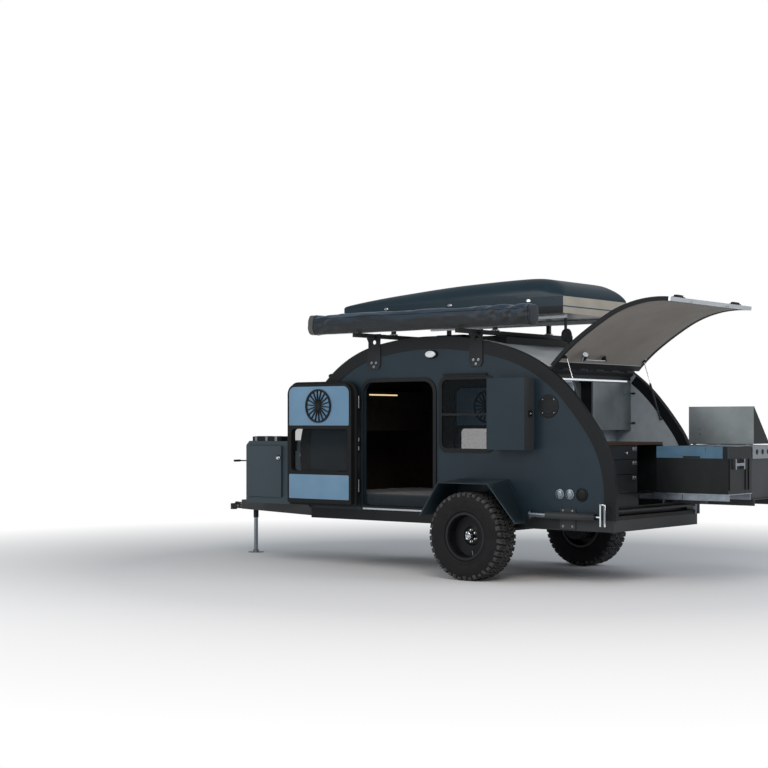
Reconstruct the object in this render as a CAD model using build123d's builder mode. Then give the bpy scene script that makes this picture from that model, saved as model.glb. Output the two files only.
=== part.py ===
# Teardrop camping trailer with a rear galley, side doors, roof rack and off-road wheels
# X runs forward to the coupler, Y to the trailer's left, Z up; lengths are millimetres
import os
from math import asin, cos, degrees, hypot, radians, sin, tan

from build123d import *

os.makedirs("parts", exist_ok=True)

# Origin at the ball's centre in the coupler; sizes below are from the ground under the axle
ball_to_axle = 3950
ball_height = 480
datum = Plane(origin=(-ball_to_axle, 0, -ball_height))
ground = -ball_height

# Clearances
seat = 0.3
running = 5

# Wheels and axle
tyre_radius = 396
tyre_width = 276
rim_radius = 205
track = 1915
spindle_radius = 24
drum_radius = 130
beam_size = 76
arm_length = 150

# Body shell
body_width = 1490
wall_thick = 40
skin_thick = 35
floor_thick = 35
rail_bottom = 470
rail_height = 100
rail_width = 50
tail_x = -1358
tail_z = 785
chin_radius = 1300
hinge_turn = 55
nose_turn = 140
trim_width = 115
trim_thick = 4

# Arcs of the body's outline from the tail over the roof to the nose: name, radius, degrees turned
arch_spans = (
    ("tail", 1010, 36),
    ("haunch", 3330, 6),
    ("shoulder", 1510, 32),
    ("back", 3200, 28),
    ("brow", 1305, 48),
    ("nose", 800, 30),
)

# Doors and windows
door_front = 1450
door_width = 850
door_bottom = 612
door_top = 1800
door_corner = 110
flange_width = 36
flange_thick = 12
cover_thick = 19
plug_depth = 42
plug_gap = 8
door_axis_out = 28
window_rear = -80
window_front = 514
window_bottom = 1158
window_top = 1825
window_corner = 70
glass_thick = 5

# Galley
bulkhead_x = -500
panel_thick = 18
galley_face = -1235
counter_z = 1213
counter_thick = 25
column_right = 200
bay_divide = -275
slide_travel = 885
hatch_thick = 36
hatch_gap = 10
hatch_open = 83.4
hatch_axis_out = 20
barrel_radius = 8
fridge_length = 690
fridge_height = 405
fridge_bottom = 800
stove_length = 600
stove_height = 120
stove_lid_height = 330

# Fender, tongue, roof load
fender_reach = 360
fender_top = 872
fender_thick = 5
box_front = 3320
box_rear = 2420
box_width = 900
box_height = 650
jack_x = 3610
rack_bar_z = 2222
rack_bar = 40
roof_box_rear = -700
roof_box_front = 1870
roof_box_width = 1094
roof_box_z = 2390
awning_rear = -660
awning_front = 1950
awning_y = 950
awning_height = 200
awning_depth = 170

# Values worked out from the ones above
rail_top = rail_bottom + rail_height
half_width = body_width / 2
inner_y = half_width - wall_thick
floor_top = rail_top + floor_thick
wheel_y = track / 2


def side(y):
    # Plane seen from the left: local x forward, local y up, normal to the right
    return Plane(origin=(-ball_to_axle, y, ground), x_dir=(1, 0, 0), z_dir=(0, -1, 0))


def level(z):
    return datum.offset(z)


def station(x):
    # Cross-section plane: local x to the left, local y up, normal forward
    return Plane(origin=(x - ball_to_axle, 0, ground), x_dir=(0, 1, 0), z_dir=(1, 0, 0))


def spot(x, y, z):
    return Vector(x - ball_to_axle, y, z + ground)


def block(x, y, z, mode=Mode.ADD):
    # Box between (low, high) pairs along each axis
    with Locations(spot((x[0] + x[1]) / 2, (y[0] + y[1]) / 2, (z[0] + z[1]) / 2)):
        Box(x[1] - x[0], y[1] - y[0], z[1] - z[0], mode=mode)


def rod(start, end, radius, mode=Mode.ADD):
    # Round bar between two spots
    run = end - start
    with BuildSketch(Plane(origin=start, z_dir=run)) as section:
        Circle(radius)
    extrude(section.sketch, amount=run.length, mode=mode)


def bar(start, end, width, height, mode=Mode.ADD):
    # Rectangular bar between two spots, width level and height upright
    run = end - start
    across = Vector(0, 0, 1).cross(run) if run.cross(Vector(0, 0, 1)).length > 1 else Vector(0, 1, 0)
    with BuildSketch(Plane(origin=start, x_dir=across, z_dir=run)) as section:
        Rectangle(width, height)
    extrude(section.sketch, amount=run.length, mode=mode)


def keep(piece, name):
    piece.label = name
    export_step(piece, f"parts/{name}.step")


def arch_table():
    # Each arc as start turn, end turn, centre x, centre z, radius
    rows = []
    x, z, turn = tail_x, tail_z, 0
    nose_z = None
    for name, radius, degrees_turned in arch_spans:
        centre_x = x + radius * cos(radians(turn))
        centre_z = z - radius * sin(radians(turn))
        rows.append((turn, turn + degrees_turned, centre_x, centre_z, radius))
        turn += degrees_turned
        x = centre_x - radius * cos(radians(turn))
        z = centre_z + radius * sin(radians(turn))
        nose_z = z
    chin_turn = degrees(asin((nose_z - rail_top) / chin_radius))
    rows.append((turn, turn + chin_turn, x - chin_radius, z, chin_radius))
    return rows


arch_rows = arch_table()
chin_end = arch_rows[-1][1]


def arch_point(turn, inset=0):
    # Point on the outline where it has turned so many degrees from the rear upright
    for start, end, centre_x, centre_z, radius in arch_rows:
        if turn <= end + 1e-6:
            break
    reach = radius - inset
    return centre_x - reach * cos(radians(turn)), centre_z + reach * sin(radians(turn))


def arch_height(x, inset=0):
    # Height of the outline's upper side at x
    for start, end, centre_x, centre_z, radius in arch_rows:
        if x <= arch_point(end, inset)[0]:
            break
    reach = radius - inset
    return centre_z + (reach**2 - (x - centre_x) ** 2) ** 0.5


def arch_arcs(first, last, inset):
    # Three points for each arc between two turns
    arcs = []
    for start, end, centre_x, centre_z, radius in arch_rows:
        low = max(first, start)
        high = min(last, end)
        if high - low > 0.01:
            arcs.append([arch_point(turn, inset) for turn in (low, (low + high) / 2, high)])
    return arcs


def arch_face(inset):
    # The closed outline moved in by inset, down to the top of the rails
    with BuildSketch() as face:
        with BuildLine():
            arcs = arch_arcs(0, chin_end, inset)
            Line((tail_x + inset, rail_top), arcs[0][0])
            for start, middle, end in arcs:
                ThreePointArc(start, middle, end)
            foot = (arcs[-1][2][0], rail_top)
            if arcs[-1][2][1] - rail_top > 0.01:
                Line(arcs[-1][2], foot)
            else:
                foot = arcs[-1][2]
            Line(foot, (tail_x + inset, rail_top))
        make_face()
    return face.sketch


def arch_band(outer, inner, first, last, foot=None):
    # Strip between two insets over a stretch of the outline, with a straight foot at the tail
    with BuildSketch() as band:
        with BuildLine():
            out_arcs = arch_arcs(first, last, outer)
            in_arcs = arch_arcs(first, last, inner)
            for start, middle, end in out_arcs + in_arcs:
                ThreePointArc(start, middle, end)
            Line(out_arcs[-1][2], in_arcs[-1][2])
            if foot is None:
                Line(out_arcs[0][0], in_arcs[0][0])
            else:
                Polyline(
                    out_arcs[0][0], (tail_x + outer, foot), (tail_x + inner, foot), in_arcs[0][0]
                )
        make_face()
    return band.sketch


def rounded(x, z, corner):
    # Rounded rectangle between (low, high) pairs
    with BuildSketch() as shape:
        with Locations(((x[0] + x[1]) / 2, (z[0] + z[1]) / 2)):
            RectangleRounded(x[1] - x[0], z[1] - z[0], corner)
    return shape.sketch


door_x = (door_front - door_width, door_front)
door_z = (door_bottom, door_top)
window_x = (window_rear, window_front)
window_z = (window_bottom, window_top)


def grown(pair, by):
    return pair[0] - by, pair[1] + by


# Frame: two rails, crossmembers, the tongue's converging rails and the stabilisers' plates
rail_rear = tail_x + 20
rail_front = 2130
crossmember_x = (rail_rear, -560, 130, 900, 1700, 2080)
tongue_start_x = crossmember_x[-1] + rail_width
tongue_spread = 560
tongue_end_x = ball_to_axle - 170
tongue_tip = 50
stay_pivot = (-880, 600)
stay_plate = 10
with BuildPart() as frame:
    for s in (1, -1):
        block((rail_rear, rail_front), sorted((s * half_width, s * (half_width - rail_width))), (rail_bottom, rail_top))
        block(
            grown((stay_pivot[0], stay_pivot[0]), 80),
            sorted((s * half_width, s * (half_width + stay_plate))),
            (480, 662),
        )
        with BuildSketch(level(rail_bottom)) as leg:
            with BuildLine():
                Polyline(
                    (tongue_start_x, s * tongue_spread),
                    (tongue_end_x, s * (tongue_tip + 1)),
                    (tongue_end_x, -s * 5),
                    (tongue_start_x, s * (tongue_spread - 60)),
                    close=True,
                )
            make_face()
        extrude(amount=rail_height)
    for x in crossmember_x:
        block((x, x + rail_width), grown((0, 0), half_width - rail_width + 1), (rail_bottom, rail_top))
keep(frame.part, "frame")

# Coupler: channel on the tongue's nose with the ball's socket open downwards
socket_radius = 26
socket_wall = 9
coupler_top = ball_height + 42
with BuildPart() as coupler:
    block((tongue_end_x, ball_to_axle), grown((0, 0), 32), (ball_height - 8, coupler_top))
    with Locations(spot(ball_to_axle, 0, ball_height + 10)):
        Cylinder(socket_radius + socket_wall, 64)
    fillet(coupler.faces().sort_by(Axis.Z)[-1].edges(), 8)
    with Locations(spot(ball_to_axle, 0, ball_height - 2)):
        Cylinder(socket_radius, 50, mode=Mode.SUBTRACT)
    with BuildSketch(side(12)) as lever:
        with BuildLine():
            Polyline(
                (ball_to_axle - 20, coupler_top - 4),
                (ball_to_axle - 40, coupler_top + 22),
                (ball_to_axle - 130, coupler_top + 16),
                (ball_to_axle - 130, coupler_top + 8),
                (ball_to_axle - 60, coupler_top - 4),
                close=True,
            )
        make_face()
    extrude(amount=24)
keep(coupler.part, "coupler")

# Tongue jack: tube on a bracket between the rails, leg and foot that slide down to the ground
jack_tube_radius = 28
jack_leg_radius = 22
jack_top = 980
with BuildPart() as jack_tube:
    block((jack_x - 60, jack_x + 60), grown((0, 0), 75), (rail_top, rail_top + 8))
    rod(spot(jack_x, 0, 380), spot(jack_x, 0, jack_top), jack_tube_radius)
    rod(spot(jack_x, 0, 370), spot(jack_x, 0, jack_top - 20), jack_leg_radius + seat, Mode.SUBTRACT)
    rod(spot(jack_x, 0, jack_top), spot(jack_x, 0, jack_top + 34), 36)
    rod(spot(jack_x, 30, jack_top + 17), spot(jack_x, 62, jack_top + 17), 8)
    rod(spot(jack_x - 10, 60, jack_top + 17), spot(jack_x + 190, 60, jack_top + 17), 7)
    rod(spot(jack_x + 183, 60, jack_top + 17), spot(jack_x + 183, 150, jack_top + 17), 12)
keep(jack_tube.part, "jack_tube")

with BuildPart() as jack_leg:
    rod(spot(jack_x, 0, 0), spot(jack_x, 0, jack_top - 330), jack_leg_radius)
    rod(spot(jack_x, 0, 0), spot(jack_x, 0, 8), 85)
    rod(spot(jack_x, 0, 8), spot(jack_x, 0, 30), 32)
keep(jack_leg.part, "jack_leg")

# Axle: beam under the rails, trailing arms, spindles and brake backing plates
beam_z = rail_bottom - beam_size / 2
arm_y = half_width - 30
with BuildPart() as axle:
    block(grown((arm_length, arm_length), beam_size / 2), grown((0, 0), arm_y), grown((beam_z, beam_z), beam_size / 2))
    for s in (1, -1):
        bar(spot(arm_length + 30, s * (arm_y + 14), beam_z), spot(-30, s * (arm_y + 14), tyre_radius - 6), 28, 64)
        rod(spot(0, s * arm_y, tyre_radius), spot(0, s * (wheel_y + 30), tyre_radius), spindle_radius)
        rod(spot(0, s * (half_width + 2), tyre_radius), spot(0, s * (half_width + 10), tyre_radius), drum_radius)
keep(axle.part, "axle")

# Wheels: tyre out to the lugs' tips, deep-dish rim with drum and hub cap
# Tyre section: radius, distance from the middle plane
tyre_section = (
    (rim_radius + seat, 104),
    (rim_radius + 14, 104),
    (rim_radius + 18, 122),
    (260, 133),
    (310, 138),
    (365, 130),
    (tyre_radius, 112),
)


def hub_plane(s):
    return Plane(origin=spot(0, s * wheel_y, tyre_radius), x_dir=(1, 0, 0), z_dir=(0, 0, s))


def make_wheel(s, name):
    spin = Axis(hub_plane(s).origin, (0, 1, 0))
    with BuildPart() as tyre:
        with BuildSketch(hub_plane(s)) as section:
            with BuildLine():
                near = [(r, w) for r, w in tyre_section]
                far = [(r, -w) for r, w in reversed(tyre_section)]
                Polyline(*near, *far, close=True)
            make_face()
        revolve(axis=spin)
    keep(tyre.part, f"tyre_{name}")

    disc_out = 12
    with BuildPart() as rim:
        with BuildSketch(hub_plane(s)) as section:
            with BuildLine():
                Polyline(
                    (rim_radius + 12, 116),
                    (rim_radius + 12, 109),
                    (rim_radius, 106),
                    (rim_radius, -106),
                    (rim_radius + 12, -109),
                    (rim_radius + 12, -116),
                    (rim_radius - 10, -116),
                    (rim_radius - 14, disc_out - 16),
                    (60, disc_out - 24),
                    (60, -40),
                    (drum_radius, -40),
                    (drum_radius, -170),
                    (spindle_radius + seat, -170),
                    (spindle_radius + seat, 40),
                    (34, 40),
                    (34, disc_out),
                    (70, disc_out),
                    (90, disc_out - 10),
                    (rim_radius - 24, disc_out),
                    (rim_radius - 12, 116),
                    close=True,
                )
            make_face()
        revolve(axis=spin)
        rod(spot(0, s * (wheel_y + 40), tyre_radius), spot(0, s * (wheel_y + 64), tyre_radius), 30)
        fillet(rim.faces().sort_by(Axis.Y)[-1 if s > 0 else 0].edges().sort_by(SortBy.LENGTH)[-1:], 1)
    keep(rim.part, f"rim_{name}")


make_wheel(1, "left")
make_wheel(-1, "right")

# Walls: the whole outline, with the door and window cut
def opening(x, z, top_corner, bottom_corner):
    with BuildSketch() as shape:
        with Locations(((x[0] + x[1]) / 2, (z[0] + z[1]) / 2)):
            Rectangle(x[1] - x[0], z[1] - z[0])
        fillet(shape.vertices().group_by(Axis.Y)[-1], top_corner)
        fillet(shape.vertices().group_by(Axis.Y)[0], bottom_corner)
    return shape.sketch


sill_corner = 25
for s, name in ((1, "left"), (-1, "right")):
    with BuildPart() as wall:
        with BuildSketch(side(half_width if s > 0 else -inner_y)):
            add(arch_face(0))
            add(opening(door_x, door_z, door_corner, sill_corner), mode=Mode.SUBTRACT)
            add(rounded(window_x, window_z, window_corner), mode=Mode.SUBTRACT)
        extrude(amount=wall_thick)
    keep(wall.part, f"{name}_wall")

floor_front = arch_point(chin_end, skin_thick)[0]
with BuildPart() as floor_panel:
    block((tail_x + 20, floor_front), (-inner_y, inner_y), (rail_top, floor_top))
keep(floor_panel.part, "floor_panel")

vent_x = 850
vent_size = 360
with BuildPart() as roof_panel:
    with BuildSketch(side(inner_y)):
        add(arch_band(0, skin_thick, hinge_turn, nose_turn))
    extrude(amount=2 * inner_y)
    block(grown((vent_x, vent_x), vent_size / 2 - 10), grown((0, 0), vent_size / 2 - 10), (2000, 2400), Mode.SUBTRACT)
keep(roof_panel.part, "roof_panel")

with BuildPart() as nose_panel:
    with BuildSketch(side(inner_y)):
        add(arch_band(0, skin_thick, nose_turn, chin_end))
    extrude(amount=2 * inner_y)
keep(nose_panel.part, "nose_panel")

# Edge trims: a strip on each wall's face, turned over its edge
with BuildPart() as edge_trims:
    for s in (1, -1):
        face_y = half_width + trim_thick if s > 0 else -half_width
        with BuildSketch(side(face_y)):
            add(arch_band(-trim_thick - seat, trim_width, 0, chin_end, rail_top))
        extrude(amount=trim_thick)
        cap_y = half_width if s > 0 else -inner_y
        with BuildSketch(side(cap_y)):
            add(arch_band(-trim_thick - seat, -seat, 0, chin_end, rail_top))
        extrude(amount=wall_thick)
keep(edge_trims.part, "edge_trims")

# Roof units: a low housing between the crossbars, and a vent with its dome
housing_x = (-70, 230)
with BuildPart() as roof_housing:
    block(housing_x, grown((0, 0), 520), (2060, rack_bar_z - 6))
    with BuildSketch(side(600)) as below:
        add(arch_face(-seat))
    extrude(below.sketch, amount=1200, mode=Mode.SUBTRACT)
    fillet(roof_housing.faces().sort_by(Axis.Z)[-1].edges(), 20)

with BuildPart() as roof_vent:
    with BuildSketch(level(arch_height(vent_x) - 30)):
        with Locations((vent_x, 0)):
            RectangleRounded(vent_size + 60, vent_size + 60, 30)
    extrude(amount=38)
    with BuildSketch(level(arch_height(vent_x) + 8)):
        with Locations((vent_x, 0)):
            RectangleRounded(vent_size, vent_size, 40)
    extrude(amount=47, taper=12)
    with BuildSketch(side(vent_size)) as below:
        add(arch_face(-seat))
    extrude(below.sketch, amount=2 * vent_size, mode=Mode.SUBTRACT)
    add(roof_housing.part)
keep(roof_vent.part, "roof_units")

# Frames round the doors and windows, with the windows' sash bars and the doors' fixed hinge barrels
door_axis_x = door_front + 30
door_axis_y = half_width + flange_thick + door_axis_out
hinge_z = (door_bottom + 190, (door_bottom + door_top) / 2, door_top - 190)
sash_z = 1487
frame_lap = 16
with BuildPart() as opening_frames:
    for s in (1, -1):
        with BuildSketch(side(half_width + flange_thick if s > 0 else -half_width)):
            add(opening(grown(door_x, flange_width), grown(door_z, flange_width), door_corner + flange_width, 40))
            add(opening(door_x, door_z, door_corner, sill_corner), mode=Mode.SUBTRACT)
        extrude(amount=flange_thick)
        with BuildSketch(side(half_width + 8 if s > 0 else -half_width)):
            add(rounded(grown(window_x, 22), grown(window_z, 22), window_corner + 22))
            add(rounded(grown(window_x, -frame_lap), grown(window_z, -frame_lap), window_corner - frame_lap), mode=Mode.SUBTRACT)
            with Locations(((window_rear + window_front) / 2, sash_z)):
                Rectangle(window_front - window_rear, 22)
        extrude(amount=8)
        for z in hinge_z:
            for end in (-1, 1):
                low, high = sorted((z + end * (24 + seat), z + end * 60))
                rod(spot(door_axis_x, s * door_axis_y, low), spot(door_axis_x, s * door_axis_y, high), 7)
                block(
                    grown((door_axis_x, door_axis_x), 5),
                    sorted((s * (half_width + flange_thick), s * door_axis_y)),
                    (low, high),
                )
keep(opening_frames.part, "opening_frames")

with BuildPart() as window_panes:
    for s in (1, -1):
        with BuildSketch(side(half_width - 1 if s > 0 else -half_width + 1 + glass_thick)):
            add(rounded(grown(window_x, -seat), grown(window_z, -seat), window_corner - seat))
        extrude(amount=glass_thick)
keep(window_panes.part, "window_panes")

# Inside: bulkhead, mattress and a shelf cabinet in the nose
def between_walls(x, z, inset):
    # Slab between the walls, cut to the inside of the outline
    with BuildSketch() as slab:
        with Locations(((x[0] + x[1]) / 2, (z[0] + z[1]) / 2)):
            Rectangle(x[1] - x[0], z[1] - z[0])
        add(arch_face(inset), mode=Mode.INTERSECT)
    return slab.sketch


bulkhead = (bulkhead_x, bulkhead_x + panel_thick)

mattress_thick = 130
with BuildPart() as mattress:
    block((bulkhead[1] + 3, 2040), grown((0, 0), inner_y - 3), (floor_top + seat, floor_top + mattress_thick))
    fillet(mattress.edges().filter_by(Axis.Z), 60)
    fillet(mattress.faces().sort_by(Axis.Z)[-1].edges(), 25)
keep(mattress.part, "mattress")

shelf_rear = 1760
shelf_z = (1330, 1560)
with BuildPart() as cabin_panels:
    for x, z in ((bulkhead, (floor_top, 2300)), ((shelf_rear, 2300), shelf_z)):
        with BuildSketch(side(inner_y)):
            add(between_walls(x, z, skin_thick + seat))
        extrude(amount=2 * inner_y)
keep(cabin_panels.part, "cabin_panels")


# Side doors: a cover on the flange, a plug in the opening, a window, pale liners with a round vent
door_lap = 14
cover_d = (5, door_axis_x - door_x[0] + door_lap)
plug_d = (door_axis_x - door_x[1] + plug_gap, door_axis_x - door_x[0] - plug_gap)
pane_d = (80, plug_d[1] - 50)
pane_z = (935, 1350)
vent_d = (plug_d[0] + plug_d[1]) / 2
vent_z = 1575
vent_radius = 165
liner_thick = 4


def make_door(s, flip, name):
    # flip is -1 for a closed leaf and 1 for one swung right round
    def across(d):
        return tuple(sorted((door_axis_x + flip * d[0], door_axis_x + flip * d[1])))

    def layer(near, far):
        # Plane on the leaf's left side of a layer between two depths from the axis
        left = max(s * (door_axis_y + flip * near), s * (door_axis_y + flip * far))
        return side(left)

    cover = (door_axis_out - cover_thick, door_axis_out)
    plug = (door_axis_out, door_axis_out + plug_depth)
    with BuildPart() as leaf:
        with BuildSketch(layer(*cover)):
            add(opening(across(cover_d), grown(door_z, door_lap), door_corner + door_lap, 36))
        extrude(amount=cover_thick)
        with BuildSketch(layer(*plug)):
            add(opening(across(plug_d), grown(door_z, -plug_gap), door_corner - plug_gap, 20))
        extrude(amount=plug_depth)
        with BuildSketch(layer(cover[0], plug[1])):
            add(rounded(across(pane_d), pane_z, 40))
        extrude(amount=cover_thick + plug_depth, mode=Mode.SUBTRACT)
        for z in hinge_z:
            block(across((0, 30)), sorted((s * (door_axis_y + flip * 4), s * (door_axis_y + flip * 12))), grown((z, z), 24))
            rod(spot(door_axis_x, s * door_axis_y, z - 24), spot(door_axis_x, s * door_axis_y, z + 24), 7)
        handle = across((plug_d[1] - 60, plug_d[1] - 15))
        block(handle, sorted((s * (door_axis_y + flip * (cover[0] - 22)), s * (door_axis_y + flip * cover[0]))), (1130, 1230))
        with BuildSketch(layer(plug[1], plug[1] + liner_thick)):
            add(opening(grown(across(plug_d), -26), (pane_z[1] + 34, door_top - 34), 70, 12))
            add(rounded(grown(across(plug_d), -26), (door_bottom + 50, pane_z[0] - 34), 12))
        extrude(amount=liner_thick)
        with BuildSketch(layer(plug[1] + liner_thick, plug[1] + liner_thick + 14)):
            with Locations(((across((vent_d, vent_d))[0]), vent_z)):
                Circle(vent_radius)
                Circle(vent_radius - 16, mode=Mode.SUBTRACT)
                Circle(22)
                for turn in range(0, 360, 20):
                    with Locations(Location((0, 0, 0), turn + 5)):
                        with Locations((vent_radius / 2, 0)):
                            Rectangle(vent_radius - 20, 9)
        extrude(amount=14)
    keep(leaf.part, f"{name}_door")

    with BuildPart() as pane:
        with BuildSketch(layer(door_axis_out, door_axis_out + glass_thick)):
            add(rounded(grown(across(pane_d), -seat), grown(pane_z, -seat), 40 - seat))
        extrude(amount=glass_thick)
    keep(pane.part, f"{name}_door_pane")


make_door(1, 1, "left")
make_door(-1, -1, "right")

# Galley: deck, dividers, lower front and drawer runners on the walls
deck = (640, 658)
bay_left = (column_right - panel_thick, column_right)
bay_right = (bay_divide - panel_thick, bay_divide)
drawer_front = (galley_face - panel_thick, galley_face)
drawer_rows = ((795, 955), (960, 1085), (1090, 1208))
header_x = (-655, -625)
unit_front = -640
unit_z = (1400, 1790)
unit_y = (270, inner_y)
with BuildPart() as galley_frame:
    block((tail_x + 18, bulkhead_x), grown((0, 0), inner_y), deck)
    for y in (bay_left, bay_right):
        block((galley_face, bulkhead_x), y, (deck[1], counter_z))
    block(drawer_front, (bay_left[0], inner_y), (deck[1], drawer_rows[0][0] - running))
    block(drawer_front, grown((0, 0), inner_y), (floor_top, deck[1] + 22))
    block((unit_front, bulkhead_x), (unit_y[0] - 40, unit_y[0]), (counter_z + counter_thick, unit_z[1]))
    header_top = arch_height(header_x[0], skin_thick) - seat
    block(header_x, grown((0, 0), inner_y), (1812, header_top))
keep(galley_frame.part, "galley_frame")

with BuildPart() as counter:
    block((galley_face - 5, bulkhead_x), (bay_divide, inner_y), (counter_z, counter_z + counter_thick))
keep(counter.part, "counter")

runner_thick = 12
drawer_y = (column_right + runner_thick + seat, inner_y - runner_thick - seat)

drawer_wall = 12
for number, (low, high) in enumerate(drawer_rows, 1):
    with BuildPart() as drawer:
        block(drawer_front, grown((column_right, inner_y), -3), (low, high))
        inside = (galley_face, galley_face + 640)
        block(inside, drawer_y, (low + 14, high - 25))
        block((inside[0], inside[1] - drawer_wall), grown(drawer_y, -drawer_wall), (low + 14 + drawer_wall, high), Mode.SUBTRACT)
        block((drawer_front[0] - 4, drawer_front[0]), (column_right + 18, column_right + 88), (high - 44, high - 12))
    keep(drawer.part, f"drawer_{number}")

# Upper galley: shelf unit, light bar and the grey back panel
with BuildPart() as galley_shelves:
    block((unit_front, bulkhead_x), unit_y, unit_z)
    for low, high in ((unit_z[0] + 15, 1585), (1600, unit_z[1] - 15)):
        block((unit_front, bulkhead_x - 10), grown(unit_y, -15), (low, high), Mode.SUBTRACT)
    block((unit_front - 30, unit_front), grown((0, 0), 620), (unit_z[1] + 2, 1812))
    block((bulkhead_x - 30, bulkhead_x), (-250, 220), (1290, 1780))
keep(galley_shelves.part, "galley_shelves")

# Hatch: skin with side rails, grey liner and an aluminium edge, built closed and swung open about its pivot
pivot_x, pivot_z = arch_point(hinge_turn, -hatch_axis_out)
hatch_inner = -hatch_gap
hatch_outer = -hatch_gap - hatch_thick
hatch_top_turn = hinge_turn - 0.7
hatch_foot_turn = 0.9
hatch_rail = 30
liner_inset = -16


def swung(y):
    # The side plane turned with the open hatch
    turn = radians(hatch_open)
    forward = Vector(cos(turn), 0, -sin(turn))
    upward = Vector(sin(turn), 0, cos(turn))
    start = spot(pivot_x, y, pivot_z) - forward * pivot_x - upward * pivot_z
    return Plane(origin=start, x_dir=forward, z_dir=(0, -1, 0))


strut_y = 672
strut_foot = (-991, 1446)
strut_shut = arch_point(49.5, 6)
knuckles = 10
knuckle_run = 2 * (inner_y - 15)
pitch = knuckle_run / knuckles
root = arch_point(hinge_turn - 1.2, -hatch_axis_out)
with BuildPart() as hatch:
    with BuildSketch(swung(half_width)):
        add(arch_band(hatch_outer, hatch_outer + 14, hatch_foot_turn, hatch_top_turn))
    extrude(amount=body_width)
    for y in (half_width, -half_width + hatch_rail):
        with BuildSketch(swung(y)):
            add(arch_band(hatch_outer + 14, hatch_inner, hatch_foot_turn, hatch_top_turn))
        extrude(amount=hatch_rail)
    for first, last in ((hatch_foot_turn, hatch_foot_turn + 3), (hatch_top_turn - 2.4, hatch_top_turn)):
        with BuildSketch(swung(half_width)):
            add(arch_band(hatch_outer + 14, hatch_inner, first, last))
        extrude(amount=body_width)
    for number in range(0, knuckles, 2):
        y = knuckle_run / 2 - number * pitch - 0.5
        with BuildSketch(swung(y)):
            with Locations((pivot_x, pivot_z)):
                Circle(barrel_radius)
            with BuildLine():
                Polyline(
                    (pivot_x - 4, pivot_z + 6), (root[0] - 4, root[1] + 6), (root[0] + 4, root[1] - 6),
                    (pivot_x + 4, pivot_z - 6), close=True,
                )
            make_face()
        extrude(amount=pitch - 1)
    near = arch_point(49.5, liner_inset + 1)
    for s in (1, -1):
        low, high = sorted((s * (strut_y + 5 + seat), s * (half_width - hatch_rail + 1)))
        with BuildSketch(swung(high)):
            add(arch_band(liner_inset, hatch_inner, 48.7, 50.3))
        extrude(amount=high - low)
        low, high = sorted((s * (strut_y + 5 + seat), s * (inner_y - running)))
        with BuildSketch(swung(high)):
            with BuildLine():
                Polyline(
                    (strut_shut[0] + 6, strut_shut[1] - 6), (near[0] + 12, near[1] + 6), (near[0] - 12, near[1] - 10),
                    (strut_shut[0] - 8, strut_shut[1] - 2), close=True,
                )
            make_face()
        extrude(amount=high - low)
keep(hatch.part, "hatch")

with BuildPart() as hatch_liner:
    with BuildSketch(swung(half_width - hatch_rail)):
        add(arch_band(hatch_outer + 14, liner_inset, hatch_foot_turn + 3, hatch_top_turn - 2.4))
    extrude(amount=body_width - 2 * hatch_rail)
keep(hatch_liner.part, "hatch_liner")

with BuildPart() as hatch_edge:
    foot_x = arch_point(0, hatch_outer)[0]
    with BuildSketch(swung(half_width)):
        with BuildLine():
            head = arch_point(hatch_foot_turn, hatch_outer)
            heel = arch_point(hatch_foot_turn, hatch_inner)
            Polyline((foot_x, tail_z - 4), head, heel, (foot_x + hatch_thick, tail_z - 4), close=True)
        make_face()
    extrude(amount=body_width)
    for y in (-330, 330):
        with BuildSketch(swung(y + 60)):
            with Locations((foot_x + hatch_thick - 6, tail_z - 13)):
                Rectangle(12, 20)
        extrude(amount=120)
keep(hatch_edge.part, "hatch_edge")

with BuildPart() as hatch_hinge:
    with BuildSketch(side(knuckle_run / 2)):
        add(arch_band(-4, 0, hinge_turn, hinge_turn + 2.2))
    extrude(amount=knuckle_run)
    web = arch_point(hinge_turn + 0.25, -1)
    for number in range(1, knuckles, 2):
        y = knuckle_run / 2 - number * pitch - 0.5
        with BuildSketch(side(y)):
            with Locations((pivot_x, pivot_z)):
                Circle(barrel_radius)
            with BuildLine():
                Polyline(
                    (pivot_x, pivot_z + 7), (web[0] + 4, web[1] + 9), (web[0] + 6, web[1] + 5), web,
                    (pivot_x - 1, pivot_z - 7), close=True,
                )
            make_face()
        extrude(amount=pitch - 1)
    for s in (1, -1):
        rod(
            spot(strut_foot[0], s * (strut_y + 9), strut_foot[1]),
            spot(strut_foot[0], s * inner_y, strut_foot[1]),
            7,
        )
keep(hatch_hinge.part, "hatch_hinge")

# Gas struts, opened at the rod's eye
turn = radians(hatch_open)
strut_reach = (strut_shut[0] - pivot_x, strut_shut[1] - pivot_z)
strut_head = (
    pivot_x + strut_reach[0] * cos(turn) + strut_reach[1] * sin(turn),
    pivot_z - strut_reach[0] * sin(turn) + strut_reach[1] * cos(turn),
)
shut_length = hypot(strut_shut[0] - strut_foot[0], strut_shut[1] - strut_foot[1])
strut_rod = 4
barrel_length = shut_length - 34
eye_half = 8


def strut_line(s):
    low = spot(strut_foot[0], s * strut_y, strut_foot[1])
    high = spot(strut_head[0], s * strut_y, strut_head[1])
    return low, high, (high - low).normalized()


with BuildPart() as strut_tubes:
    for s in (1, -1):
        low, high, aim = strut_line(s)
        rod(low, low + aim * barrel_length, 9)
        rod(low + aim * 60, low + aim * (barrel_length + 1), strut_rod + seat, Mode.SUBTRACT)
        rod(low - Vector(0, eye_half, 0), low + Vector(0, eye_half, 0), 9)
keep(strut_tubes.part, "strut_tubes")

with BuildPart() as strut_rods:
    for s in (1, -1):
        low, high, aim = strut_line(s)
        rod(low + aim * (barrel_length - 40), high, strut_rod)
        rod(high - Vector(0, 5, 0), high + Vector(0, 5, 0), 8)
keep(strut_rods.part, "strut_rods")



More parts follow.
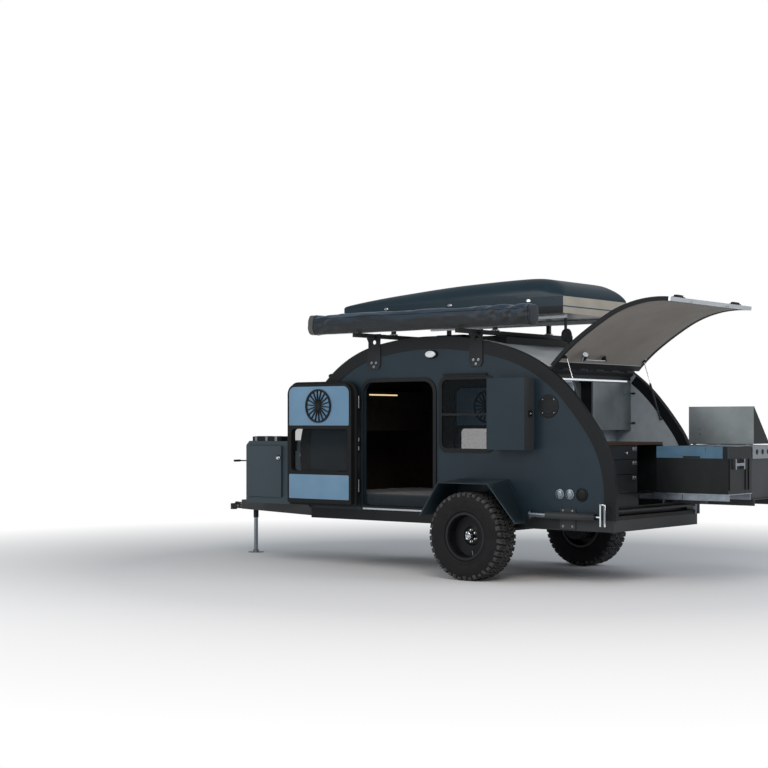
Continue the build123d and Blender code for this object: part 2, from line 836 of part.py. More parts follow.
# Kitchen slides: fixed rails in the bays and the drawer column, half-travel runners, and trays
fridge_bay = (bay_divide, column_right - panel_thick)
stove_bay = (-inner_y, bay_right[0])
fridge_rail_z = (739, 799)
stove_rail_z = (682, 742)
rail_step = runner_thick + seat
bays = ((fridge_bay, fridge_rail_z[0]), (stove_bay, stove_rail_z[0]))
with BuildPart() as slide_rails:
    for y, z in bays:
        for side_y in ((y[0], y[0] + runner_thick), (y[1] - runner_thick, y[1])):
            block((galley_face, bulkhead_x - 20), side_y, (z, z + 50))
    for z, top in drawer_rows:
        for side_y in ((column_right, column_right + runner_thick), (inner_y - runner_thick, inner_y)):
            block((galley_face + running, galley_face + 650), side_y, (z + 40, z + 75))
keep(slide_rails.part, "slide_rails")

with BuildPart() as slide_runners:
    for y, z in bays:
        low = (y[0] + rail_step, y[0] + rail_step + runner_thick - seat)
        high = (y[1] - rail_step - runner_thick + seat, y[1] - rail_step)
        for side_y in (low, high):
            block((galley_face - slide_travel / 2, bulkhead_x - 20 - slide_travel / 2), side_y, (z + 2, z + 48))
keep(slide_runners.part, "slide_runners")


def tray(y, z, x):
    step = 2 * rail_step
    for low, high in ((y[0] + step, y[0] + step + runner_thick), (y[1] - step - runner_thick, y[1] - step)):
        block((x[0], x[0] + bulkhead_x - galley_face - 2 * running), (low, high), (z[0], z[0] + 60))
    block(x, grown(y, -2), (z[0] + 52, z[0] + 60))


tray_x = (galley_face - slide_travel, bulkhead_x - 45 - slide_travel)
fridge_x = (-2120, -1430)
fridge_y = (-268, 175)
fridge_z = (fridge_rail_z[1], 1205)
fridge_lid_x = (-1905, -1430)
fridge_lid_thick = 42
with BuildPart() as fridge_tray:
    tray(fridge_bay, fridge_rail_z, tray_x)
keep(fridge_tray.part, "fridge_tray")

with BuildPart() as fridge_case:
    block(fridge_x, fridge_y, fridge_z)
    block(grown(fridge_lid_x, 1), grown(fridge_y, 1), (fridge_z[1] - fridge_lid_thick, fridge_z[1] + 1), Mode.SUBTRACT)
    block((-1880, -1465), grown(fridge_y, -35), (fridge_z[0] + 30, fridge_z[1]), Mode.SUBTRACT)
    block((fridge_x[0] - 28, fridge_x[0]), (-90, -70), (1010, 1100))
    block((fridge_x[0] - 28, fridge_x[0]), (70, 90), (1010, 1100))
    block((fridge_x[0] - 28, fridge_x[0] - 16), (-90, 90), (1040, 1065))
keep(fridge_case.part, "fridge_case")

fridge_axis = (-262, 1199)
with BuildPart() as fridge_lid:
    block((fridge_lid_x[0] + 3, fridge_lid_x[1]), (fridge_y[0] + 12, fridge_y[1]), (fridge_z[1] - fridge_lid_thick + seat, fridge_z[1]))
    block((fridge_lid_x[0] + 3, fridge_lid_x[1]), (fridge_axis[0], fridge_y[0] + 12), grown((fridge_axis[1], fridge_axis[1]), 5))
    rod(spot(fridge_lid_x[0] + 3, *fridge_axis), spot(fridge_lid_x[1], *fridge_axis), 6)
keep(fridge_lid.part, "fridge_lid")

stove_x = (-2112, -1491)
stove_y = (-690, -302)
stove_z = (1095, 1213)
lid_axis = (-308, 1225)
with BuildPart() as pantry:
    tray(stove_bay, stove_rail_z, tray_x)
    block((tray_x[0] + 20, -1500), stove_y, (stove_rail_z[1], stove_z[0]))
    for low, high in ((stove_rail_z[1] + 12, 905), (917, stove_z[0] - 12)):
        block((tray_x[0] + 32, -1512), (stove_y[0] - 1, stove_y[1] - 12), (low, high), Mode.SUBTRACT)
keep(pantry.part, "pantry")

with BuildPart() as stove:
    block(stove_x, stove_y, stove_z)
    block(grown(stove_x, -12), grown(stove_y, -12), (stove_z[1] - 30, stove_z[1]), Mode.SUBTRACT)
    for x in (-1955, -1650):
        rod(spot(x, -500, stove_z[1] - 30), spot(x, -500, stove_z[1] - 14), 48)
        for turned in (0, 90):
            with Locations(Location(spot(x, -500, stove_z[1] - 8), (0, 0, turned))):
                Box(220, 6, 12)
    for x in (-2080, -1800, -1560):
        block((x, x + 30), (stove_y[1] - 12, stove_y[1]), (stove_z[1] - 1, lid_axis[1] - 6 - seat))
keep(stove.part, "stove")

with BuildPart() as stove_lid:
    block(stove_x, (lid_axis[0] - 4, lid_axis[0] + 8), (lid_axis[1], lid_axis[1] + stove_lid_height))
    rod(spot(stove_x[0], *lid_axis), spot(stove_x[1], *lid_axis), 6)
    with BuildSketch(station(stove_x[0] - 12)):
        with BuildLine():
            top = lid_axis[1] + stove_lid_height
            Polyline((lid_axis[0], lid_axis[1]), (lid_axis[0], top), (lid_axis[0] - 300, lid_axis[1]), close=True)
        make_face()
    extrude(amount=6)
    block((stove_x[0] - 12, stove_x[0]), (lid_axis[0] - 4, lid_axis[0] + 8), (lid_axis[1], lid_axis[1] + stove_lid_height))
keep(stove_lid.part, "stove_lid")

# Side locker with its door hinged at the front
locker_x = (-523, -118)
locker_y = (half_width, 882)
locker_z = (1170, 1810)
sheet = 6
locker_axis = (locker_x[1] - 2, locker_y[1] + 10)
with BuildPart() as locker:
    block(locker_x, locker_y, locker_z)
    block(grown(locker_x, -sheet), (locker_y[0] + sheet, locker_y[1] + 1), grown(locker_z, -sheet), Mode.SUBTRACT)
keep(locker.part, "locker")
with BuildPart() as locker_door:
    block((locker_x[0], locker_axis[0]), (locker_y[1] + seat, locker_y[1] + 18), locker_z)
    rod(spot(*locker_axis, locker_z[0]), spot(*locker_axis, locker_z[1]), 9)
keep(locker_door.part, "locker_door")

# Fenders: bent sheets, narrower at the body than at their outer edge
fender_inner = ((450, 565), (255, 905), (-250, 905), (-445, 520))
fender_outer = ((490, 570), (280, 872), (-270, 872), (-572, 535))
with BuildPart() as fenders:
    for s in (1, -1):
        with BuildSketch(side(s * half_width)) as start:
            with BuildLine():
                Polyline(*fender_inner, *[(x * 0.985, z - fender_thick) for x, z in reversed(fender_inner)], close=True)
            make_face()
        with BuildSketch(side(s * (half_width + fender_reach))) as finish:
            with BuildLine():
                Polyline(*fender_outer, *[(x * 0.985, z - fender_thick) for x, z in reversed(fender_outer)], close=True)
            make_face()
        loft([start.sketch.face(), finish.sketch.face()], ruled=True)
keep(fenders.part, "fenders")

# Stabilisers: tube that swings down about its pivot, leg that slides out to the ground
stay_y = 802
stay_radius = 30
stay_leg = 24
for s, name in ((1, "left"), (-1, "right")):
    with BuildPart() as stay_tube:
        start = spot(-1190, s * stay_y, stay_pivot[1])
        finish = spot(-690, s * stay_y, stay_pivot[1])
        rod(start, finish, stay_radius)
        rod(spot(stay_pivot[0], s * (half_width + stay_plate + seat), stay_pivot[1]), spot(stay_pivot[0], s * stay_y, stay_pivot[1]), 26)
        rod(spot(-1150, s * stay_y, stay_pivot[1]), finish + Vector(1, 0, 0), stay_leg + seat, Mode.SUBTRACT)
        rod(spot(-1240, s * stay_y, stay_pivot[1]), start, 9)
        rod(spot(-1240, s * stay_y, 520), spot(-1240, s * stay_y, 712), 9)
    keep(stay_tube.part, f"stay_tube_{name}")
    with BuildPart() as stay_foot:
        rod(spot(-1080, s * stay_y, stay_pivot[1]), spot(-536, s * stay_y, stay_pivot[1]), stay_leg)
        rod(spot(-538, s * stay_y, stay_pivot[1]), spot(-530, s * stay_y, stay_pivot[1]), 45)
    keep(stay_foot.part, f"stay_foot_{name}")

# Roof rack: brackets on the walls, crossbars out to the awning, rails along the roof
bracket_x = ((23, 192), (1223, 1410))
rail_z = (2350, roof_box_z)
with BuildPart() as roof_rack:
    for x in bracket_x:
        middle = (x[0] + x[1]) / 2
        for s in (1, -1):
            block(x, sorted((s * (half_width + trim_thick), s * (half_width + trim_thick + 8))), (1925, rack_bar_z + rack_bar))
            block(x, sorted((s * half_width, s * (half_width + trim_thick))), (1925, 1960))
        block(grown((middle, middle), rack_bar / 2), (-half_width - 5, 1040), (rack_bar_z, rack_bar_z + rack_bar))
        for y in (450, -450):
            block(grown((middle, middle), 18), grown((y, y), 18), (rack_bar_z + rack_bar, rail_z[0]))
    for y in (450, -450):
        block((roof_box_rear + 30, roof_box_front - 330), grown((y, y), 20), rail_z)
keep(roof_rack.part, "roof_rack")

# Rolled awning in its bag, on the crossbars' left ends
awning_bottom = rack_bar_z + rack_bar + seat
with BuildPart() as awning_bag:
    block((awning_rear, awning_front), grown((awning_y, awning_y), awning_depth / 2), (awning_bottom, awning_bottom + awning_height))
    fillet(awning_bag.edges().filter_by(Axis.X), 50)
    fillet(awning_bag.faces().sort_by(Axis.X)[0].edges(), 15)
    fillet(awning_bag.faces().sort_by(Axis.X)[-1].edges(), 15)
keep(awning_bag.part, "awning_bag")

# Roof box: tub and hinged lid, both hollow
split_z = 2542
shell = 6
tub_side = ((roof_box_rear, roof_box_z), (1500, roof_box_z), (roof_box_front, 2500), (roof_box_front, split_z), (roof_box_rear, split_z))
lid_side = (
    (roof_box_rear, split_z), (roof_box_front, split_z), (roof_box_front - 10, 2565), (1500, 2625),
    (600, 2705), (-370, 2730), (-640, 2655), (roof_box_rear + 4, 2580),
)
half_box = roof_box_width / 2


def slab(points, half):
    with BuildSketch(side(half)) as outline:
        with BuildLine():
            Polyline(*points, close=True)
        make_face()
    extrude(outline.sketch, amount=2 * half)


def hollow(points, half, open_face, wall):
    # Solid from a side outline, its long edges rounded, hollowed towards one open side
    with BuildPart() as shell_part:
        slab(points, half)
        keep_z = shell_part.faces().sort_by(Axis.Z)[open_face]
        offset(amount=-wall, openings=keep_z)
    return shell_part.part


with BuildPart() as roof_box_tub:
    add(hollow(tub_side, half_box, -1, shell))
keep(roof_box_tub.part, "roof_box_tub")
with BuildPart() as roof_box_lid:
    add(hollow([(x, z + seat) for x, z in lid_side], half_box, 0, shell))
    for x in (-400, 500, 1400):
        rod(spot(x, -half_box - 6, split_z + 8), spot(x + 90, -half_box - 6, split_z + 8), 6.5)
keep(roof_box_lid.part, "roof_box_lid")

# Tongue box: hollow, chamfered front, a door on each side
box_x = (box_rear, box_front)
box_z = (rail_top, rail_top + box_height)
half_tongue_box = box_width / 2
box_side = (
    (box_x[0], box_z[0]), (box_x[1], box_z[0]), (box_x[1], box_z[1] - 45), (box_x[1] - 45, box_z[1]), (box_x[0], box_z[1]),
)
box_door_x = (2800, 3262)
box_door_z = (640, 1170)
box_lip = 25
with BuildPart() as tongue_box:
    slab(box_side, half_tongue_box)
    inner = [
        (box_x[0] + 4, box_z[0] + 4), (box_x[1] - 4, box_z[0] + 4), (box_x[1] - 4, box_z[1] - 47),
        (box_x[1] - 47, box_z[1] - 4), (box_x[0] + 4, box_z[1] - 4),
    ]
    with BuildSketch(side(half_tongue_box - 4)) as hollow_side:
        with BuildLine():
            Polyline(*inner, close=True)
        make_face()
    extrude(hollow_side.sketch, amount=2 * half_tongue_box - 8, mode=Mode.SUBTRACT)
    block(grown(box_door_x, -box_lip), grown((0, 0), half_tongue_box + 1), grown(box_door_z, -box_lip), Mode.SUBTRACT)
keep(tongue_box.part, "tongue_box")

box_axis_x = 3270
box_axis_y = half_tongue_box + 9
for s, name in ((1, "left"), (-1, "right")):
    with BuildPart() as box_door:
        block((box_door_x[0], box_axis_x), sorted((s * (half_tongue_box + seat), s * (half_tongue_box + 18))), box_door_z)
        rod(spot(box_axis_x, s * box_axis_y, box_door_z[0]), spot(box_axis_x, s * box_axis_y, box_door_z[1]), 8)
    keep(box_door.part, f"box_door_{name}")
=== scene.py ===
import bpy
import bmesh
import math
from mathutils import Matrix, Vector, geometry, noise


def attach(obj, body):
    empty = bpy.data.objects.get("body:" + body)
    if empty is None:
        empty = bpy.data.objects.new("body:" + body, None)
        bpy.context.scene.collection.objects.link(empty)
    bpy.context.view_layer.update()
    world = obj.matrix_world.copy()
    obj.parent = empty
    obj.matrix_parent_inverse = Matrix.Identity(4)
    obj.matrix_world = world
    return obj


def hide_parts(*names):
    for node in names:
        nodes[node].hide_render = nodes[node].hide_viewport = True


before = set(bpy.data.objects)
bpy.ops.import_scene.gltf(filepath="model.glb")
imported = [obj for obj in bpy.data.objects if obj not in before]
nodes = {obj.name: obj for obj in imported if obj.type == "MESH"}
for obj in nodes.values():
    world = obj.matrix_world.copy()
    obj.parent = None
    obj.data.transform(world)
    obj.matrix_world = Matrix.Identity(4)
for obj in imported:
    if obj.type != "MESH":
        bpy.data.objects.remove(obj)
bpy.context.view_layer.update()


print("frame loaded")

scene = bpy.context.scene
scene.view_settings.view_transform = "Standard"
scene.view_settings.look = "None"

# The origin is the towing ball; sizes in millimetres are given from the ground under the axle
ball = {"ahead": 3950, "height": 480}
groundZ = -ball["height"] / 1000


def spot(x, y, z):
    return Vector(((x - ball["ahead"]) / 1000, y / 1000, (z - ball["height"]) / 1000))


def millimetres(point):
    # Back from metres at the ball to millimetres at the axle
    return Vector((point.x * 1000 + ball["ahead"], point.y * 1000, point.z * 1000 + ball["height"]))


# Camera
cameraSetup = {"place": (-12.262, 12.369, 0.9325), "turn": 219.2875, "lens": 73.58, "shift": 0.0502}
camera = bpy.data.objects.new("camera", bpy.data.cameras.new("camera"))
scene.collection.objects.link(camera)
camera.location = cameraSetup["place"]
camera.rotation_euler = (math.radians(90), 0, math.radians(cameraSetup["turn"]))
camera.data.lens = cameraSetup["lens"]
camera.data.sensor_width = 36
camera.data.shift_y = cameraSetup["shift"]
scene.camera = camera

# The body's outline as arcs from the tail over the roof to the nose: radius in mm, degrees turned
outline = {
    "tail": (-1358, 785), "middle": (300, 900),
    "arcs": ((1010, 36), (3330, 6), (1510, 32), (3200, 28), (1305, 48), (800, 30)),
}
wallFace, bulkheadX = 745, -500
hatch = {"turn": 83.4, "pivot": (-701.18, 1892.46)}
left = Vector((0, 1, 0))
up = Vector((0, 0, 1))
back = Vector((-1, 0, 0))
sides = ((1, "left"), (-1, "right"))


def outlinePoint(turn, inset=0):
    # Point on the outline where it has turned so many degrees, inset in mm towards the inside
    x, z = outline["tail"]
    start = 0
    for radius, degrees in outline["arcs"]:
        centreX = x + radius * math.cos(math.radians(start))
        centreZ = z - radius * math.sin(math.radians(start))
        end = start + degrees
        if turn <= end:
            break
        x = centreX - radius * math.cos(math.radians(end))
        z = centreZ + radius * math.sin(math.radians(end))
        start = end
    reach = radius - inset
    return centreX - reach * math.cos(math.radians(turn)), centreZ + reach * math.sin(math.radians(turn))


def swung(x, z, way):
    # Point of the hatch turned about its hinge: way 1 opens it, -1 shuts it
    turn = math.radians(hatch["turn"]) * way
    dx, dz = x - hatch["pivot"][0], z - hatch["pivot"][1]
    return (
        hatch["pivot"][0] + dx * math.cos(turn) + dz * math.sin(turn),
        hatch["pivot"][1] - dx * math.sin(turn) + dz * math.cos(turn),
    )


def closed(point):
    # A point in mm on the open hatch at its place on the closed one
    x, z = swung(point.x, point.z, -1)
    return Vector((x, point.y, z))


def onHatch(turn, inset, y):
    # A point of the closed hatch's outline at its place on the open one, in metres
    x, z = swung(*outlinePoint(turn, inset), 1)
    return spot(x, y, z)


# Materials
def srgb(code):
    channels = [int(code[i : i + 2], 16) / 255 for i in (1, 3, 5)]
    return (*[c / 12.92 if c <= 0.04045 else ((c + 0.055) / 1.055) ** 2.4 for c in channels], 1.0)


def plug(tree, node, values):
    # Inputs of a node by name or number: a socket is linked, any other value is set
    for name, value in values.items():
        if isinstance(value, bpy.types.NodeSocket):
            tree.links.new(value, node.inputs[name])
        else:
            node.inputs[name].default_value = value


def addNode(tree, kind, values=None, **settings):
    node = tree.nodes.new(kind)
    for name, value in settings.items():
        setattr(node, name, value)
    plug(tree, node, values or {})
    return node


finish = {}


def startFinish(name, colour, rough, metal=0.0, coat=0.0, ior=1.5):
    material = bpy.data.materials.new(name)
    material.use_nodes = True
    tree = material.node_tree
    shader = tree.nodes["Principled BSDF"]
    plug(tree, shader, {
        "Base Color": srgb(colour), "Roughness": rough, "Metallic": metal, "Coat Weight": coat,
        "Specular IOR Level": 0.5 if metal else 0.25,
    })
    if metal < 0.5:
        shader.inputs["IOR"].default_value = ior
    finish[name] = material
    return tree, shader


def grainOf(tree, size, detail=4.0, stretch=(1, 1, 1)):
    # Mottling over the piece's own coordinates, its grains size mm across
    coords = addNode(tree, "ShaderNodeTexCoord")
    place = addNode(tree, "ShaderNodeMapping", {"Vector": coords.outputs["Object"], "Scale": stretch})
    grains = addNode(tree, "ShaderNodeTexNoise", {
        "Vector": place.outputs["Vector"], "Scale": 1000 / size, "Detail": detail, "Roughness": 0.55,
    })
    return grains.outputs["Fac"]


def shadeOf(tree, factor, low, high, start=0.3, end=0.7):
    # Colour that goes from low to high while the factor goes from start to end; hex codes or sockets
    low, high = [srgb(colour) if isinstance(colour, str) else colour for colour in (low, high)]
    share = addNode(tree, "ShaderNodeMapRange", {"Value": factor, "From Min": start, "From Max": end})
    mix = addNode(tree, "ShaderNodeMix", {0: share.outputs["Result"], 6: low, 7: high}, data_type="RGBA")
    return mix.outputs[2]


def cover(tree, shader, colour, relief=None, gloss=None):
    # Colour, relief as (height, strength, depth mm) and uneven roughness as (factor, low, high)
    plug(tree, shader, {"Base Color": colour})
    if gloss:
        factor, low, high = gloss
        uneven = addNode(tree, "ShaderNodeMapRange", {"Value": factor, "To Min": low, "To Max": high})
        plug(tree, shader, {"Roughness": uneven.outputs["Result"]})
    if relief:
        height, strength, depth = relief
        raised = addNode(tree, "ShaderNodeBump", {
            "Height": height, "Strength": strength, "Distance": depth / 1000,
        })
        plug(tree, shader, {"Normal": raised.outputs["Normal"]})


def painted(name, low, high, rough, drift=300, grain=None, coat=0.0, metal=0.0, spread=0.06, edge=None):
    # Slow colour drift over drift mm, uneven sheen, grain as (size mm, strength, depth mm), rubbed edges
    tree, shader = startFinish(name, low, rough, metal, coat)
    slow = grainOf(tree, drift, 6.0)
    colour = shadeOf(tree, slow, low, high)
    if edge:
        shape = addNode(tree, "ShaderNodeNewGeometry")
        colour = shadeOf(tree, shape.outputs["Pointiness"], colour, edge, 0.52, 0.6)
    relief = (grainOf(tree, grain[0], 2.0), grain[1], grain[2]) if grain else None
    cover(tree, shader, colour, relief, (slow, rough - spread, rough + spread))


def brushed(name, low, high, rough, line, stretch):
    # Bare metal with fine lines of line mm drawn out along one direction
    tree, shader = startFinish(name, low, rough, 1.0)
    lines = grainOf(tree, line, 3.0, stretch)
    gloss = (lines, rough - 0.07, rough + 0.1)
    cover(tree, shader, shadeOf(tree, lines, low, high), (lines, 0.06, 0.2), gloss)


def tinted(name, low, high, alpha, rough=0.04):
    # Tinted sheet, seen through by its alpha
    tree, shader = startFinish(name, low, rough, ior=1.49)
    shader.inputs["Alpha"].default_value = alpha
    cover(tree, shader, shadeOf(tree, grainOf(tree, 400), low, high))


def woven(name, low, high, thread, rough, sheen, depth, skyReflection=None):
    # Cloth of crossing threads, thread mm apart; the last colour, if given, is a painted sky reflection on
    # faces that look up
    tree, shader = startFinish(name, low, rough)
    shader.inputs["Sheen Weight"].default_value = sheen
    coords = addNode(tree, "ShaderNodeTexCoord")
    threads = [
        addNode(tree, "ShaderNodeTexWave", {
            "Vector": coords.outputs["Object"], "Scale": 2 * math.pi * 1000 / (20 * thread),
            "Distortion": 0.4, "Detail": 1.0,
        }, wave_type="BANDS", bands_direction=direction).outputs["Fac"]
        for direction in ("X", "Z")
    ]
    weave = addNode(tree, "ShaderNodeMath", dict(enumerate(threads)), operation="MULTIPLY").outputs[0]
    mottled = addNode(tree, "ShaderNodeMath", {0: weave, 1: grainOf(tree, 60, 5.0)}, operation="ADD")
    colour = shadeOf(tree, mottled.outputs[0], low, high, 0.25, 1.0)
    # painted sky reflection: faces that look up take its colour
    if skyReflection:
        shape = addNode(tree, "ShaderNodeNewGeometry")
        facing = addNode(tree, "ShaderNodeSeparateXYZ", {"Vector": shape.outputs["Normal"]})
        colour = shadeOf(tree, facing.outputs["Z"], colour, skyReflection, -0.1, 0.7)
    cover(tree, shader, colour, (weave, 0.35, depth))


def splitAt(name, below, above, axis, edge, rough, drift=90):
    # Two finishes that meet at a plane across the axis, edge in metres; each is a (dark, light) pair
    tree, shader = startFinish(name, below[0], rough)
    slow = grainOf(tree, drift, 5.0)
    coords = addNode(tree, "ShaderNodeTexCoord")
    place = addNode(tree, "ShaderNodeSeparateXYZ", {"Vector": coords.outputs["Object"]}).outputs[axis]
    pair = [shadeOf(tree, slow, *colours) for colours in (below, above)]
    cover(tree, shader, shadeOf(tree, place, *pair, edge, edge + 0.0001), (grainOf(tree, 6, 2.0), 0.08, 0.3))


def glowing(name, colour, strength):
    # Diffuser of a lamp that is lit
    tree, shader = startFinish(name, colour, 0.4)
    plug(tree, shader, {"Emission Color": srgb(colour), "Emission Strength": strength})
    cover(tree, shader, shadeOf(tree, grainOf(tree, 40), colour, "#fffaf0"))


# sprayed satin paint on fibreglass board: slate blue, faint orange peel
painted("bodyPaint", "#1b2a34", "#22323c", 0.42, 700, (9, 0.05, 0.3), coat=0.06)
# the same paint on folded sheet metal, rubbed at its edges
painted("sheetPaint", "#1a252c", "#212d34", 0.44, 400, (7, 0.06, 0.3), coat=0.05, edge="#3c4a51")
# white coated aluminium sheet of the roof
painted("roofSheet", "#c4ccd2", "#d4dade", 0.3, 900, (40, 0.05, 0.5), coat=0.2)
# textured black trim extrusion
painted("blackTrim", "#101315", "#171a1d", 0.55, 250, (2.5, 0.3, 0.4))
# black powder coat on steel: fine orange peel, edges worn grey
painted("powderCoat", "#0e1011", "#16181a", 0.5, 220, (3, 0.2, 0.3), edge="#3a3d3f")
# vulcanised rubber of the sidewall
painted("sidewallRubber", "#141516", "#1d1e1f", 0.7, 90, (3, 0.3, 0.5))
# tread rubber, paler than the sidewall
painted("paleTreadRubber", "#262627", "#565655", 0.86, 45, (4, 0.5, 0.8))
# black painted steel wheel
painted("wheelPaint", "#0d0e0f", "#16181a", 0.38, 120, (4, 0.1, 0.2), edge="#33373a")
# bright zinc plate with its cloudy spangle
painted("zincPlate", "#828a92", "#9aa1a8", 0.34, 60, metal=1.0, spread=0.1)
# extruded aluminium, satin anodised
brushed("anodised", "#b4babf", "#d4d9dc", 0.3, 4, (1, 0.02, 1))
# polished chrome plate
painted("chrome", "#c6cacd", "#d6d9db", 0.1, 60, metal=1.0, spread=0.04)
# brushed stainless sheet of the cooker
brushed("stainless", "#7f868b", "#a0a7ac", 0.34, 5, (0.03, 1, 1))
# grey painted aluminium front of the upper cupboard
painted("greySheet", "#6b7375", "#868e90", 0.3, 330, metal=0.45, spread=0.08)
# black film faced plywood
painted("blackPly", "#15181a", "#1f2325", 0.42, 160, (5, 0.1, 0.2))
# pale high pressure laminate
painted("paleLaminate", "#b7c2cb", "#c6d0d8", 0.4, 500, (6, 0.06, 0.2))
# aluminium faced lining of the doors, white, in a pale blue that is painted sky light
painted("skyTintedDoorLining", "#6488a6", "#7296b2", 0.36, 500, (7, 0.05, 0.2), metal=0.25)
# warm grey needle felt of the hatch
painted("hatchFelt", "#827d77", "#8d8882", 0.75, 260, (4, 0.35, 0.5))
# walnut stained worktop, oiled
painted("oiledWalnut", "#2b1d14", "#40291a", 0.4, 35, (12, 0.1, 0.3))
# black phenolic floor board
painted("phenolicBoard", "#1c1c1c", "#272625", 0.6, 120, (5, 0.3, 0.4))
# walls inside: pale laminate in the galley, dark brown carpet in the cabin
splitAt("wallLining", ("#b3c0cb", "#c4ced6"), ("#1e1915", "#2b241e"), "X", spot(bulkheadX + 9, 0, 0).x, 0.6)
# dark brown carpet lining
painted("cabinCarpet", "#1c1713", "#2a231d", 0.9, 60, (4, 0.6, 0.8))
# moulded black plastic, fine spark texture
painted("mouldedBlack", "#0e1011", "#15171a", 0.42, 100, (1.6, 0.3, 0.2))
# moulded blue-grey plastic lid
painted("mouldedBlue", "#44637a", "#4f7087", 0.32, 200, (1.8, 0.15, 0.2))
# roto-moulded fridge: black case under a blue-grey upper band
splitAt("fridgeShell", ("#0d0f10", "#15181a"), ("#44637a", "#4f7087"), "Z", spot(0, 0, 1105).z, 0.4, 120)
# vacuum formed gloss shell of the roof box
painted("glossShell", "#1a2c36", "#20343f", 0.32, 600, (14, 0.03, 0.3), coat=0.12, spread=0.03)
# the roof box's tub: black foot under the same teal shell
splitAt("tubShell", ("#0d0f11", "#14171a"), ("#1a2c36", "#20343f"), "Z", spot(0, 0, 2455).z, 0.34, 500)
# brushed pale panel on the roof box's rear
painted("palePanel", "#a9a294", "#bab3a5", 0.35, 250, (3, 0.1, 0.2), metal=0.2)
# dark tinted acrylic
tinted("tintedAcrylic", "#14191c", "#1b2226", 0.3)
# black rubber seal
painted("sealRubber", "#0f1011", "#17181a", 0.62, 60, (3, 0.2, 0.3))
# blue line of the roof box's seal
painted("blueSeal", "#27495f", "#315670", 0.4, 200)
# pale display window of the fridge
painted("displayGlass", "#9fb4bd", "#c1d2d8", 0.12, 60, coat=0.6)
# clear moulded lens of a lamp
painted("clearLens", "#d5dde2", "#e6ebee", 0.14, 30, (6, 0.3, 0.6), coat=0.6)
# lit strips: warm in the cabin, white in the galley
glowing("warmStrip", "#ffe2a4", 0.9)
glowing("whiteStrip", "#e6eef4", 0.35)
# coated polyester of the awning bag, with a painted blue sky reflection on faces that look up; threads drawn
# coarse so that they show
woven("awningCloth", "#0e1215", "#161c21", 5, 0.34, 0.25, 0.2, "#2a4052")
# grey end of the awning bag
woven("awningEnd", "#3a3a3b", "#565453", 5, 0.5, 0.3, 0.4)
# mattress ticking
woven("mattressCloth", "#10181f", "#1c2831", 6, 0.9, 0.3, 0.6)
# cast iron of the pan supports
painted("castIron", "#101010", "#1c1c1c", 0.6, 30, (3, 0.4, 0.5))
print("materials made")


def dress(node, base, *rows):
    # Finish of a node of the frame: each face takes the first one whose test it passes, else the base
    mesh = nodes[node].data
    mesh.materials.clear()
    for name in (base, *[name for name, test in rows]):
        mesh.materials.append(finish[name])
    for face in mesh.polygons:
        centre = millimetres(face.center)
        passed = [number for number, (name, test) in enumerate(rows, 1) if test(centre, face.normal)]
        face.material_index = passed[0] if passed else 0


def fromMiddle(point):
    # The way in mm from the middle line of the cabin to a point
    x, z = outline["middle"]
    return Vector((point.x - x, 0, point.z - z))


def inwards(c, n):
    # Whether a face of the roof or nose looks into the cabin
    return n.dot(fromMiddle(c)) < 0


def outerSkin(c, n):
    # Whether a face of the open hatch is the top of its skin when shut
    shut = closed(c)
    fromHinge = math.hypot(shut.x - hatch["pivot"][0], shut.z - hatch["pivot"][1])
    outwards = fromMiddle(shut).dot(closed(c + n * 10) - shut) > 0
    return abs(n.y) < 0.5 and outwards and fromHinge > 30 and abs(c.y) < wallFace - 1


# Faces in mm: planes of the doors, hinge barrels, drawer fronts, fridge and cooker
door = {"lining": {"left": 859, "right": -711}, "thick": 65, "handle": 1185, "barrel": 1480, "pin": 785}
drawer = {"front": -1253.2, "inside": -1234.9}
fridge = {"cap": -2120.5, "handle": 995, "x": (-1881, -1464), "y": (-234, 141), "z": (828, 1204.9)}
cooker = {"grate": 1184.5, "middle": -500, "half": 112, "x": (-2078, -1530), "end": -2112.5}
for s, name in sides:
    lining = door["lining"][name]
    skin = lining - door["thick"]
    dress(f"{name}_wall", "bodyPaint", ("wallLining", lambda c, n: s * n.y < -0.5))
    dress(
        f"{name}_door", "sealRubber",
        ("skyTintedDoorLining", lambda c, n: abs(n.y) > 0.5 and abs(c.y - lining) < 1.5),
        ("mouldedBlack", lambda c, n: c.y > lining + (0.5 if s > 0 else 0)),
        ("bodyPaint", lambda c, n: n.y < -0.5 and abs(c.y - skin) < 1.5),
        ("mouldedBlack", lambda c, n: abs(c.z - door["handle"]) < 62 and c.y < skin - 0.1),
        ("zincPlate", lambda c, n: abs(c.x - door["barrel"]) < 15 and abs(c.y - s * door["pin"]) < 7.2),
    )
    dress(f"box_door_{name}", "sheetPaint", ("zincPlate", lambda c, n: abs(c.y) > 468.2))
    dress(f"stay_tube_{name}", "powderCoat", ("chrome", lambda c, n: c.x < -1191))
plain = {
    "powderCoat": "frame coupler axle jack_tube strut_tubes hatch_hinge locker pantry",
    "zincPlate": "slide_rails slide_runners fridge_tray jack_leg stay_foot_left stay_foot_right",
    "tintedAcrylic": "window_panes left_door_pane right_door_pane", "sheetPaint": "fenders tongue_box",
    "sidewallRubber": "tyre_left tyre_right", "wheelPaint": "rim_left rim_right", "chrome": "strut_rods",
    "phenolicBoard": "floor_panel", "blackPly": "galley_frame", "oiledWalnut": "counter",
    "hatchFelt": "hatch_liner", "blackTrim": "edge_trims", "mouldedBlack": "roof_units",
    "mouldedBlue": "fridge_lid", "glossShell": "roof_box_lid", "awningCloth": "awning_bag",
    "mattressCloth": "mattress",
}
for name, group in plain.items():
    for node in group.split():
        dress(node, name)
dress(
    "roof_panel", "roofSheet",
    ("blackTrim", lambda c, n: c.x < -600 and n.x < -0.5 and n.z < -0.3), ("cabinCarpet", inwards),
)
dress("nose_panel", "bodyPaint", ("cabinCarpet", inwards))
dress("cabin_panels", "cabinCarpet", ("paleLaminate", lambda c, n: c.x < bulkheadX + 4 and n.x < -0.5))
